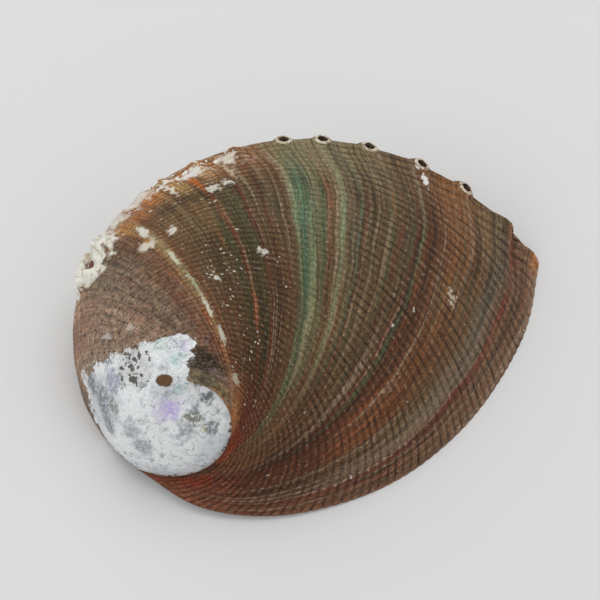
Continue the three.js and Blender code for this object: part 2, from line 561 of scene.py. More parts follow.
@dataclass(frozen=True)
class Relief:
    """The sculpture of the outside, as heights in millimetres over the smooth form."""

    rib_height: float = 0.28
    wall_ribs: int = 7
    wall_rib_height: float = 0.5
    shoulder_height: float = 0.5
    pearl_step: float = 0.35
    swell: float = 0.30
    swell_size: float = 14.0
    grit: float = 0.14
    grit_size: float = 3.5
    scallop: float = 0.0075
    scallop_reach: float = 0.05
    rib_wear: Pair = (1.6, 2.7)
    suture_fade: Pair = (0.01, 0.07)
    foot_fade: Pair = (18.2, 19.0)
    margin_fade: Pair = (0.0, 0.05)
    shoulder_half: float = 0.022
    shoulder_fade: Pair = (1.6, 2.4)
    crust_centre: Pair = (2.18, 0.962)
    crust_spread: Pair = (0.195, 0.12)
    crust_ring: float = 0.72
    crust_height: float = 3.0
    crust_lumps: Pair = (3.4, 1.3)
    sealed: tuple[float, ...] = (1.235, 1.42, 1.61, 1.73, 1.86)
    sealed_across: float = 0.985
    sealed_half: Pair = (1.7, 4.5)
    sealed_height: float = 2.4
    mm_to_a_radian: float = 75.0
    mm_across: float = 150.0
    ridges: tuple[GrowthRidge, ...] = (
        GrowthRidge(0.145, 0.03, 0.22),
        GrowthRidge(0.26, 0.03, -0.15),
        GrowthRidge(0.53, 0.04, -0.28),
        GrowthRidge(0.72, 0.05, 0.14),
        GrowthRidge(0.90, 0.04, 0.16),
        GrowthRidge(1.13, 0.03, -0.16),
        GrowthRidge(1.36, 0.03, -0.20),
        GrowthRidge(1.49, 0.03, 0.20),
        GrowthRidge(1.63, 0.03, -0.25),
        GrowthRidge(1.915, 0.045, 0.65),
        GrowthRidge(2.35, 0.06, -0.25),
    )

    def crust(self, back: float, across: float) -> float:
        """Works out how much white crust lies round the oldest sealed pore.

        Args:
            back: Radians of growth before the margin.
            across: Share of the way from the suture to the pores.

        Returns:
            A share from 0 to 1.
        """
        u = (back - self.crust_centre[0]) / self.crust_spread[0]
        v = (across - self.crust_centre[1]) / self.crust_spread[1]
        return 1 - ease(abs(math.hypot(u, v) - self.crust_ring), 0.15, 0.46)

    def height(self, back: float, row: float, place: Vector) -> float:
        """Works out the height of the sculpture at a place of the body whorl.

        Args:
            back: Radians of growth before the margin.
            row: Row number, from 0 to SpiralForm.ROWS.
            place: The place in millimetres.

        Returns:
            The height over the smooth form, in millimetres.
        """
        across = row / SpiralForm.DOME_ROWS
        size = math.exp(-SpiralForm.shrink * back)
        wear = ease(back, *self.rib_wear)
        clear = ease(across, *self.suture_fade) * (1 - ease(row, *self.foot_fade))
        clear *= ease(back, *self.margin_fade)
        patchy = 0.8 + 0.9 * noise.noise(Vector((back * 2.0, across * 27, 7.7)))
        if across <= 1:
            cord = 0.5 + 0.5 * math.cos(2 * math.pi * RIBS.turns(back, across))
            rib = self.rib_height * (0.4 + 0.6 * size) * cord
        else:
            down = (row - SpiralForm.DOME_ROWS) / (SpiralForm.ROWS - SpiralForm.DOME_ROWS)
            phase = self.wall_ribs * down + 0.15 * math.sin(6 * back)
            rib = self.wall_rib_height * size * (0.5 - 0.5 * math.cos(2 * math.pi * phase))
        height = rib * patchy * (1 - 0.75 * wear)
        bend = back + 0.02 * noise.noise(Vector((across * 5, back * 2, 1.3)))
        for ridge in self.ridges:
            near = 1 - abs(bend - ridge.back) / ridge.half_width
            if near > 0:
                height += ridge.height * near * (1 - ease(across, 0.9, 1.2))
        shoulder = math.exp(-(((across - 1) / self.shoulder_half) ** 2))
        shoulder *= 1 - ease(back, *self.shoulder_fade)
        height += self.shoulder_height * size * shoulder
        aside = (across - self.sealed_across) * self.mm_across * size / self.sealed_half[1]
        for pore_back in self.sealed:
            along = (bend - pore_back) * self.mm_to_a_radian * size / self.sealed_half[0]
            height += self.sealed_height * size * math.exp(-(math.hypot(along, aside) ** 2))
        coarse, fine = (noise.noise(place / lump) for lump in self.crust_lumps)
        lump = 0.6 + 1.1 * coarse + 0.35 * fine
        height += self.crust_height * self.crust(back, across) * max(lump, 0.15)
        edge = between(PEARL_EDGE, across) + 0.06 * noise.noise(place / 3.0)
        height -= self.pearl_step * ease(back, edge - 0.02, edge + 0.06)
        return (height + self.weathering(place)) * clear

    def weathering(self, place: Vector) -> float:
        """The low swells and grit of a worn surface at a place, in millimetres."""
        low = self.swell * noise.noise(place / self.swell_size)
        return low + self.grit * noise.noise(place / self.grit_size)

    def retreat(self, back: float, row: float) -> float:
        """Works out how far the scalloped margin draws back between two ribs.

        Args:
            back: Radians of growth before the margin.
            row: Row number, from 0 to SpiralForm.ROWS.

        Returns:
            The retreat in radians of growth.
        """
        across = row / SpiralForm.DOME_ROWS
        if across > 1 or back > self.scallop_reach:
            return 0.0
        tooth = abs(math.cos(math.pi * RIBS.turns(0, across)))
        ragged = 0.7 + 0.6 * noise.noise(Vector((across * 16, 0.4, 0.9)))
        fade = ease(across, 0.0, 0.1) * (1 - ease(across, 0.94, 1.0))
        return self.scallop * (1 - tooth) * ragged * fade * (1 - back / self.scallop_reach)


def stops(*pairs: tuple[float, str]) -> list[tuple[float, Colour]]:
    """Turns positions and hex colours into the stops of a ramp."""
    return [(at, linear(hex_colour)) for at, hex_colour in pairs]


class Board:
    """One material and its nodes."""

    def __init__(self, name: str) -> None:
        """Starts a material.

        Args:
            name: The material's name.
        """
        self.material = bpy.data.materials.new(name)
        self.material.use_nodes = True
        self.tree = self.material.node_tree
        self.shader = self.tree.nodes["Principled BSDF"]

    def add(
        self,
        kind: str,
        *values: Feed,
        named: Mapping[str, Feed] | None = None,
        out: str | None = None,
        **settings: object,
    ) -> Socket:
        """Adds one node with its settings and links.

        Args:
            kind: The node type without its "ShaderNode" start.
            *values: What the inputs that its settings leave in use take, in their order.
            named: What further inputs take, by name.
            out: The output to hand on, or None for the first in use.
            **settings: Node properties.

        Returns:
            The chosen output socket.
        """
        node = self.tree.nodes.new("ShaderNode" + kind)
        for name, value in settings.items():
            setattr(node, name, value)
        self.feed(zip((socket for socket in node.inputs if socket.enabled), values))
        self.feed((node.inputs[name], value) for name, value in (named or {}).items())
        return node.outputs[out] if out else next(socket for socket in node.outputs if socket.enabled)

    def feed(self, pairs: Iterable[tuple[Socket, Feed]]) -> None:
        """Links or sets inputs.

        Args:
            pairs: Each input, and another node's socket or a constant for it.
        """
        for socket, value in pairs:
            if isinstance(value, Socket):
                self.tree.links.new(value, socket)
            else:
                socket.default_value = value

    def finish(self, **inputs: Feed) -> bpy.types.Material:
        """Feeds the shader, with "_" in a name for a space, and hands the material over."""
        self.feed((self.shader.inputs[name.replace("_", " ")], value) for name, value in inputs.items())
        return self.material

    def millimetres(self) -> Socket:
        """The object's own coordinates in millimetres."""
        metres = self.add("TexCoord", out="Object")
        return self.add("VectorMath", metres, (1 / MM,) * 3, operation="MULTIPLY")

    def product(self, first: Feed, *others: Feed) -> Feed:
        """Multiplies numbers.

        Args:
            first: The first number.
            *others: What to multiply it by.

        Returns:
            The product.
        """
        for share in others:
            first = self.add("Math", first, share, operation="MULTIPLY")
        return first

    def off(self, value: Feed, middle: float) -> Socket:
        """How far a number lies from a middle one, either way."""
        away = self.add("Math", value, middle, operation="SUBTRACT")
        return self.add("Math", away, operation="ABSOLUTE")

    def streaks(self, growth: Feed, counts: Pair, detail: float = 2.0, rough: float = 0.5) -> Socket:
        """Draws noise stretched over the growth map.

        Args:
            growth: The growth map.
            counts: How many clouds lie along a radian of growth, and across from suture to pores.
            detail: How many finer layers it has.
            rough: How strong the finer layers are.

        Returns:
            The noise as a number.
        """
        stretched = self.add("VectorMath", growth, (*counts, 0.0), operation="MULTIPLY")
        return self.add("TexNoise", stretched, 1.0, detail, rough)

    def reach(self, growth: Feed, middle: Pair, half: Pair) -> Socket:
        """Measures how far a place of the growth map lies from a middle.

        Args:
            growth: The growth map.
            middle: The middle on that map.
            half: The half sizes that count as 1.

        Returns:
            The distance in those half sizes.
        """
        scale = (1 / half[0], 1 / half[1], 0.0)
        shift = (-middle[0] * scale[0], -middle[1] * scale[1], 0.0)
        away = self.add("VectorMath", growth, scale, shift, operation="MULTIPLY_ADD")
        return self.add("VectorMath", away, operation="LENGTH")


def spread(ramp: Socket, run: Sequence[tuple[float, Colour]]) -> Socket:
    """Lays colours along a ramp.

    Args:
        ramp: The ramp's output.
        run: Positions and colours, in rising order.

    Returns:
        The same output.
    """
    elements = ramp.node.color_ramp.elements
    while len(elements) < len(run):
        elements.new(1.0)
    for element, (at, tint) in zip(elements, run):
        element.position = at
        element.color = tint
    return ramp


def bend(curve: Socket, points: Sequence[Pair]) -> Socket:
    """Bends a curve through points, with straight lines between them.

    Args:
        curve: The curve's output.
        points: The points, with both numbers from 0 to 1.

    Returns:
        The same output.
    """
    mapping = curve.node.mapping
    knots = mapping.curves[0].points
    while len(knots) < len(points):
        knots.new(0.5, 0.5)
    for knot, point in zip(knots, points):
        knot.location = point
        knot.handle_type = "VECTOR"
    mapping.update()
    return curve


@dataclass(frozen=True)
class Stain:
    """A soft spot of colour at one place of the pearl.

    Attributes:
        place: Its middle, in millimetres.
        radius: Its radius in millimetres.
        colour: Its sRGB hex colour.
        strength: How strongly it covers, from 0 to 1.
    """

    place: Point
    radius: float
    colour: str
    strength: float = 1.0


@dataclass(frozen=True)
class Patch:
    """A ragged patch of colour on the growth map.

    Attributes:
        back: Its middle, in radians of growth.
        across: Its middle, as a share of the way from suture to pores.
        half: Its half sizes, in radians and in that share.
        colour: Its sRGB hex colour.
        strength: How strongly it covers, from 0 to 1.
    """

    back: float
    across: float
    half: Pair
    colour: str
    strength: float


@dataclass(frozen=True)
class Thread:
    """A thin line of colour along a growth line.

    Attributes:
        back: Where it lies, in radians of growth.
        half: Half its width, in radians of growth.
        colour: Its sRGB hex colour.
        strength: How strongly it covers, from 0 to 1.
    """

    back: float
    half: float
    colour: str
    strength: float


class Hue(Enum):
    """The colours that the outer layer took on as its owner's food changed, as sRGB."""

    BUFF = "#7c6456"
    BROWN = "#6b5343"
    WINE = "#604032"
    TAUPE = "#6c665c"
    KHAKI = "#5c4b36"
    RUST = "#684831"
    UMBER = "#583b2a"
    PEAT = "#4d3e2d"
    OLIVE = "#554733"
    HAY = "#625844"
    SAGE = "#706e58"
    LICHEN = "#5a5a45"
    SEA_PALE = "#617058"
    SEA = "#526e5b"
    MOSS = "#483f29"
    STRAW = "#8f8363"
    OCHRE = "#7b583a"
    CLAY = "#75675a"
    DRAB = "#8a776a"
    STONE = "#8f8376"
    BRICK = "#785041"
    CRIMSON = "#613120"
    SAND = "#9a7554"
    ROSE = "#ae937f"


Bands = tuple[tuple[float, Hue], ...]

# Growth bands, as radians of growth and colour: over the dome, by the suture and by the pores.
BANDS_YOUNG: Bands = (
    (0.0, Hue.BUFF),
    (0.05, Hue.BROWN),
    (0.10, Hue.BROWN),
    (0.135, Hue.WINE),
    (0.19, Hue.TAUPE),
    (0.265, Hue.KHAKI),
    (0.36, Hue.RUST),
    (0.44, Hue.RUST),
    (0.50, Hue.UMBER),
    (0.53, Hue.PEAT),
    (0.57, Hue.PEAT),
    (0.68, Hue.OLIVE),
    (0.80, Hue.OLIVE),
    (0.86, Hue.HAY),
    (0.905, Hue.SAGE),
    (0.94, Hue.KHAKI),
    (1.01, Hue.LICHEN),
    (1.05, Hue.SEA_PALE),
    (1.085, Hue.SEA),
    (1.12, Hue.SEA_PALE),
    (1.15, Hue.KHAKI),
    (1.22, Hue.OLIVE),
    (1.32, Hue.OLIVE),
    (1.42, Hue.MOSS),
    (1.55, Hue.MOSS),
    (1.80, Hue.KHAKI),
)
BANDS_OLD: Bands = (
    (1.80, Hue.KHAKI),
    (1.87, Hue.RUST),
    (1.90, Hue.STRAW),
    (1.93, Hue.STRAW),
    (1.96, Hue.OCHRE),
    (2.02, Hue.BROWN),
    (2.10, Hue.BROWN),
    (2.20, Hue.CLAY),
    (2.35, Hue.CLAY),
    (2.50, Hue.DRAB),
    (2.80, Hue.DRAB),
    (2.95, Hue.STONE),
    (3.30, Hue.STONE),
)
BANDS_SUTURE: Bands = (
    (0.0, Hue.BRICK),
    (0.4, Hue.CRIMSON),
    (0.7, Hue.UMBER),
    (1.1, Hue.UMBER),
    (1.2, Hue.CRIMSON),
    (1.55, Hue.CRIMSON),
    (1.82, Hue.SAND),
    (1.95, Hue.STONE),
    (2.25, Hue.SAGE),
    (2.8, Hue.LICHEN),
    (3.2, Hue.STONE),
)
BANDS_PORES: Bands = (
    (0.0, Hue.BUFF),
    (0.1, Hue.BROWN),
    (0.2, Hue.HAY),
    (0.4, Hue.OCHRE),
    (0.55, Hue.KHAKI),
    (0.85, Hue.SAGE),
    (1.05, Hue.SAGE),
    (1.2, Hue.OCHRE),
    (1.4, Hue.SAND),
    (1.8, Hue.SAND),
    (2.1, Hue.STONE),
    (2.5, Hue.ROSE),
    (2.7, Hue.BRICK),
    (2.95, Hue.ROSE),
)
# Threads of red, green and straw, youngest first.
THREADS: tuple[Thread, ...] = (
    Thread(0.14, 0.016, "#732f22", 0.65),
    Thread(0.185, 0.009, "#7b6a5e", 0.5),
    Thread(0.35, 0.008, "#8f653a", 0.45),
    Thread(0.40, 0.008, "#8f653a", 0.5),
    Thread(0.530, 0.012, "#7a3a22", 0.5),
    Thread(0.555, 0.010, "#44664f", 0.6),
    Thread(0.577, 0.009, "#7a302c", 0.6),
    Thread(0.612, 0.007, "#938873", 0.55),
    Thread(0.640, 0.008, "#74322e", 0.5),
    Thread(0.672, 0.008, "#48634c", 0.55),
    Thread(0.692, 0.009, "#9a917c", 0.6),
    Thread(0.748, 0.008, "#9a917c", 0.55),
    Thread(0.795, 0.008, "#773531", 0.55),
    Thread(0.822, 0.010, "#4a7266", 0.55),
    Thread(0.845, 0.007, "#8b8a74", 0.5),
    Thread(0.876, 0.005, "#7c3a30", 0.45),
    Thread(0.900, 0.018, "#7f9c84", 0.5),
    Thread(0.965, 0.010, "#7a3328", 0.55),
    Thread(0.990, 0.012, "#3c6a50", 0.6),
    Thread(1.045, 0.010, "#7f9c82", 0.6),
    Thread(1.085, 0.018, "#426c5b", 0.65),
    Thread(1.125, 0.010, "#7d9079", 0.5),
    Thread(1.277, 0.014, "#733c2a", 0.5),
    Thread(1.367, 0.014, "#642426", 0.75),
    Thread(1.50, 0.020, "#74301a", 0.75),
    Thread(1.63, 0.014, "#4d251b", 0.75),
)
# Tints under the fine texture, with one patch of painted shade low on the front of the dome.
TINTS: tuple[Patch, ...] = (
    Patch(1.08, 0.40, (0.09, 0.13), "#8c9174", 0.32),
    Patch(0.98, 0.22, (0.20, 0.08), "#7d664c", 0.28),
    Patch(1.30, 0.50, (0.09, 0.19), "#54341c", 0.38),
    Patch(0.50, 0.57, (0.09, 0.11), "#55361f", 0.32),
    Patch(1.66, 0.73, (0.20, 0.10), "#967a58", 0.32),
    Patch(1.90, 0.89, (0.07, 0.06), "#a86c26", 0.6),
    Patch(1.545, 0.55, (0.035, 0.20), "#34492f", 0.35),
    Patch(1.42, 0.62, (0.035, 0.20), "#364a30", 0.33),
    Patch(1.42, 0.33, (0.03, 0.10), "#33452f", 0.4),
    Patch(1.55, 0.35, (0.03, 0.09), "#33482f", 0.45),
    Patch(1.82, 0.91, (0.06, 0.08), "#a5693a", 0.40),
    Patch(1.72, 0.93, (0.06, 0.06), "#b87a40", 0.6),
    Patch(1.59, 0.92, (0.04, 0.08), "#c0a673", 0.65),
    Patch(1.51, 0.91, (0.022, 0.09), "#c06e28", 0.75),
    Patch(1.44, 0.93, (0.04, 0.06), "#b5966a", 0.6),
    Patch(1.50, 0.40, (0.014, 0.09), "#b0622a", 0.55),
    Patch(1.965, 0.90, (0.025, 0.09), "#c4924e", 0.75),
    Patch(1.955, 0.36, (0.025, 0.05), "#a05f2a", 0.6),
    Patch(2.65, 0.85, (0.28, 0.18), "#a8806d", 0.45),
    Patch(2.38, 0.185, (0.40, 0.075), "#2f2b20", 0.92),
    Patch(2.15, 0.14, (0.28, 0.024), "#8d8d92", 0.5),
    Patch(2.35, 0.02, (0.60, 0.025), "#b58c62", 0.8),
    Patch(1.75, 0.035, (0.28, 0.045), "#b58560", 0.65),
    Patch(1.25, 0.03, (0.35, 0.04), "#93431f", 0.65),
    Patch(0.10, 0.025, (0.18, 0.035), "#8a4a30", 0.45),
    Patch(0.40, 0.05, (0.25, 0.03), "#8f3a1e", 0.6),
    # Painted shade: a dark patch low on the front of the dome.
    Patch(0.45, 0.23, (0.34, 0.11), "#3a2617", 0.42),
    Patch(0.015, 1.0, (0.035, 0.04), "#b5772f", 0.75),
    Patch(0.13, 0.97, (0.04, 0.05), "#8d4536", 0.5),
)
# Bare white lime over everything: the flaking old ridge, the shoulder and larger flecks.
LIME: tuple[Patch, ...] = (
    Patch(1.917, 0.786, (0.022, 0.05), "#dcd8ca", 0.95),
    Patch(1.97, 0.715, (0.065, 0.028), "#d8d2c2", 0.9),
    Patch(1.945, 0.73, (0.02, 0.012), "#b07a38", 0.8),
    Patch(1.915, 0.60, (0.022, 0.04), "#d2d0b8", 0.8),
    Patch(1.912, 0.48, (0.016, 0.06), "#a9b598", 0.6),
    Patch(1.908, 0.385, (0.024, 0.045), "#d5d1bf", 0.8),
    Patch(1.885, 0.30, (0.03, 0.03), "#cfd0bd", 0.8),
    Patch(1.83, 0.165, (0.09, 0.016), "#c9c4b0", 0.6),
    Patch(1.475, 0.955, (0.06, 0.026), "#e0ded6", 0.95),
    Patch(1.625, 0.93, (0.012, 0.07), "#e3dccd", 0.85),
    Patch(1.30, 0.965, (0.035, 0.035), "#ddd6c7", 0.85),
    Patch(1.345, 0.90, (0.012, 0.06), "#cdbfa8", 0.6),
    Patch(1.75, 0.985, (0.10, 0.03), "#dcd7cb", 0.8),
    Patch(1.90, 0.985, (0.06, 0.04), "#dcd7cb", 0.8),
    Patch(1.47, 0.83, (0.035, 0.016), "#d9d5c8", 0.85),
    Patch(1.39, 0.845, (0.025, 0.016), "#d9d5c8", 0.85),
    Patch(1.80, 0.715, (0.035, 0.016), "#d9d5c8", 0.85),
    Patch(1.38, 0.575, (0.035, 0.013), "#d0cdbf", 0.85),
    Patch(1.74, 0.49, (0.025, 0.013), "#d5d0c4", 0.85),
    Patch(0.37, 0.725, (0.03, 0.012), "#cfc0a8", 0.7),
    Patch(0.51, 0.965, (0.016, 0.018), "#eceae4", 0.95),
    Patch(2.62, 0.48, (0.035, 0.025), "#c9c2b6", 0.6),
    Patch(2.75, 0.58, (0.04, 0.03), "#cbc5bb", 0.6),
)
# Glints and stains of the worn spire, where the photograph shows them.
STAINS: tuple[Stain, ...] = (
    Stain((-62.0, -34.0, 22.0), 10.0, "#aab1b9", 0.6),
    Stain((-66.7, -25.1, 20.1), 5.0, "#6d767e", 0.95),
    Stain((-58.6, -32.7, 31.9), 4.8, "#a3a6b8", 0.9),
    Stain((-62.4, -33.0, 23.0), 5.5, "#7c858d", 0.95),
    Stain((-58.6, -38.0, 27.1), 3.0, "#85867a", 0.9),
    Stain((-61.0, -38.3, 18.6), 5.0, "#7e868d", 0.9),
    Stain((-49.7, -48.2, 21.2), 4.0, "#8e9499", 0.7),
    Stain((-53.4, -45.1, 25.7), 3.5, "#a1a6ab", 0.6),
    Stain((-44.8, -28.2, 45.2), 3.0, "#b6cfc4", 0.6),
    Stain((-39.2, -32.1, 44.8), 3.2, "#b4d6d3", 0.65),
    Stain((-37.8, -38.9, 38.8), 2.0, "#b0d2cf", 0.65),
    Stain((-41.3, -43.8, 34.6), 3.6, "#c4b2ea", 0.9),
    Stain((-44.2, -44.0, 33.8), 3.4, "#d3cce6", 0.65),
    Stain((-34.1, -45.1, 32.4), 3.2, "#6c6f5c", 0.85),
    Stain((-31.3, -46.5, 29.6), 1.5, "#9a9a3c", 0.85),
    Stain((-30.6, -40.5, 35.9), 2.6, "#5f656a", 0.9),
    Stain((-29.0, -46.1, 29.0), 2.6, "#6f757c", 0.8),
    Stain((-36.8, -47.6, 29.7), 3.4, "#8d9196", 0.75),
    Stain((-36.9, -29.2, 46.7), 2.6, "#c5bdd8", 0.6),
)


@dataclass(frozen=True)
class PearlPaint:
    """Worn pearl: chalky white in thin flaked sheets, with slate, aqua and lilac glints."""

    sheet_mm: float = 7.0
    sheets: float = 14.0
    flake_mm: float = 3.2
    cloud_mm: float = 9.0
    break_mm: float = 1.2
    crack_mm: float = 5.0
    pit_mm: float = 2.2
    swirl_mm: float = 2.2
    swirl_reach: float = 2.5
    white: str = "#f3f5f6"
    chalk: str = "#cdd1d4"
    haze: str = "#c6ccd3"
    slate: str = "#8b9298"
    pit: str = "#42413a"
    moss: str = "#9b9c8d"
    rust: str = "#4a3322"
    rust_pale: str = "#7a5a3c"
    pitted_place: Point = (-52.0, -31.5, 39.5)
    pitted_radius: float = 8.5
    oval_place: Point = (-43.0, -37.3, 40.5)
    oval_stretch: Point = (0.36, 0.55, 0.36)
    roughness: float = 0.34

    def paint(self, board: Board, mm: Socket, across: Socket) -> tuple[Socket, Socket]:
        """Paints the pearl.

        Args:
            board: The material being made.
            mm: Object coordinates in millimetres.
            across: The share of the way from suture to pores.

        Returns:
            The colour, and a mask of the pits for the bump.
        """
        swirl = board.add("TexNoise", mm, 1 / self.swirl_mm, 3.0, out="Color")
        both_ways = (2 * self.swirl_reach,) * 3, (-self.swirl_reach,) * 3
        swirl = board.add("VectorMath", swirl, *both_ways, operation="MULTIPLY_ADD")
        swept = board.add("VectorMath", mm, swirl, operation="ADD")
        flake = board.add("TexNoise", mm, 1 / self.flake_mm, 5.0, 0.6)
        colour = self._clouds(board, mm, swept, flake)
        # Worn pearl lies in thin sheets, with a fine edge at each step.
        sheet = board.add("TexNoise", mm, 1 / self.sheet_mm, 4.0)
        step = board.add(
            "Math", board.add("Math", sheet, self.sheets, operation="MULTIPLY"), operation="FRACT"
        )
        colour = board.add(
            "VectorMath",
            colour,
            board.add("MapRange", step, 0.0, 1.0, 0.90, 1.03),
            operation="SCALE",
        )
        colour = board.add(
            "Mix",
            board.add("MapRange", step, 0.0, 0.07, 0.45, 0.0),
            colour,
            linear(self.slate),
            data_type="RGBA",
        )
        # Cracks between flaked sheets show only where the sheets lift.
        crack = board.add("TexVoronoi", swept, 1 / self.crack_mm, feature="DISTANCE_TO_EDGE")
        crack = board.add("MapRange", crack, 0.04, 0.012, 0.0, 0.4)
        lifted = board.add("MapRange", sheet, 0.46, 0.56, 0.0, 1.0)
        colour = board.add(
            "Mix", board.product(crack, lifted), colour, linear(self.pit), data_type="RGBA"
        )
        # Borers' pits crowd at one place and along the suture.
        away = board.add("VectorMath", mm, self.pitted_place, operation="DISTANCE")
        crowd = board.add(
            "MapRange", away, self.pitted_radius, 0.5 * self.pitted_radius, 0.10, 0.40
        )
        crowd = board.add(
            "Math", crowd, board.add("MapRange", across, 1.24, 1.34, 0.0, 0.28), operation="ADD"
        )
        mossy = board.product(board.add("MapRange", crowd, 0.12, 0.40, 0.0, 0.55), flake)
        colour = board.add("Mix", mossy, colour, linear(self.moss), data_type="RGBA")
        pits = board.add("TexVoronoi", swept, 1 / self.pit_mm)
        pits = board.add(
            "MapRange", board.add("Math", crowd, pits, operation="SUBTRACT"), -0.04, 0.04, 0.0, 0.9
        )
        colour = board.add("Mix", pits, colour, linear(self.pit), data_type="RGBA")
        # One oval scrap of the brown layer is left.
        oval = board.add("VectorMath", swirl, (0.22,) * 3, mm, operation="MULTIPLY_ADD")
        oval = board.add("VectorMath", oval, self.oval_place, operation="SUBTRACT")
        oval = board.add("VectorMath", oval, self.oval_stretch, operation="MULTIPLY")
        oval = board.add(
            "MapRange", board.add("VectorMath", oval, operation="LENGTH"), 1.05, 0.85, 0.0, 1.0
        )
        scrap = spread(
            board.add("ValToRGB", flake), stops((0.35, self.rust), (0.65, self.rust_pale))
        )
        return board.add("Mix", oval, colour, scrap, data_type="RGBA"), pits

    def _clouds(self, board: Board, mm: Socket, swept: Socket, flake: Socket) -> Socket:
        """Paints the white, its haze and its stains.

        Args:
            board: The material being made.
            mm: Object coordinates in millimetres.
            swept: The same, swirled.
            flake: The noise of the flakes.

        Returns:
            The colour.
        """
        whites = ((0.46, self.white), (0.60, self.white), (0.70, self.chalk))
        colour = spread(
            board.add("ValToRGB", flake), stops((0.30, self.slate), (0.37, self.chalk), *whites)
        )
        hazy = board.add(
            "MapRange", board.add("TexNoise", mm, 1 / self.cloud_mm, 3.0), 0.48, 0.62, 0.0, 0.5
        )
        colour = board.add("Mix", hazy, colour, linear(self.haze), data_type="RGBA")
        broken = board.add("TexNoise", mm, 1 / self.break_mm, 4.0, 0.7)
        broken = board.add("MapRange", broken, 0.42, 0.48, 0.25, 1.0)
        for stain in STAINS:
            away = board.add("VectorMath", swept, stain.place, operation="DISTANCE")
            edge = (1.15 * stain.radius, 0.5 * stain.radius)
            cover = board.add(
                "MapRange", away, *edge, 0.0, stain.strength, interpolation_type="SMOOTHSTEP"
            )
            colour = board.add(
                "Mix", board.product(cover, broken), colour, linear(stain.colour), data_type="RGBA"
            )
        return colour


@dataclass(frozen=True)
class Ground:
    """The sockets that the patterns of the outer layer share.

    Attributes:
        board: The material being made.
        mm: Object coordinates in millimetres.
        growth: The growth map.
        straight: Its radians of growth.
        across: Its share of the way from suture to pores.
        back: Radians of growth along the real growth lines.
        lines: The growth map along those lines.
        ruffled: The growth map with torn edges.
        fresh: 1 on the young shell, less on the old.
        beads: Fine beads along ribs and growth lines.
        wave: -1 in the grooves, 1 on the ribs.
    """

    board: Board
    mm: Socket
    growth: Socket
    straight: Socket
    across: Socket
    back: Socket
    lines: Socket
    ruffled: Socket
    fresh: Socket
    beads: Socket
    wave: Socket


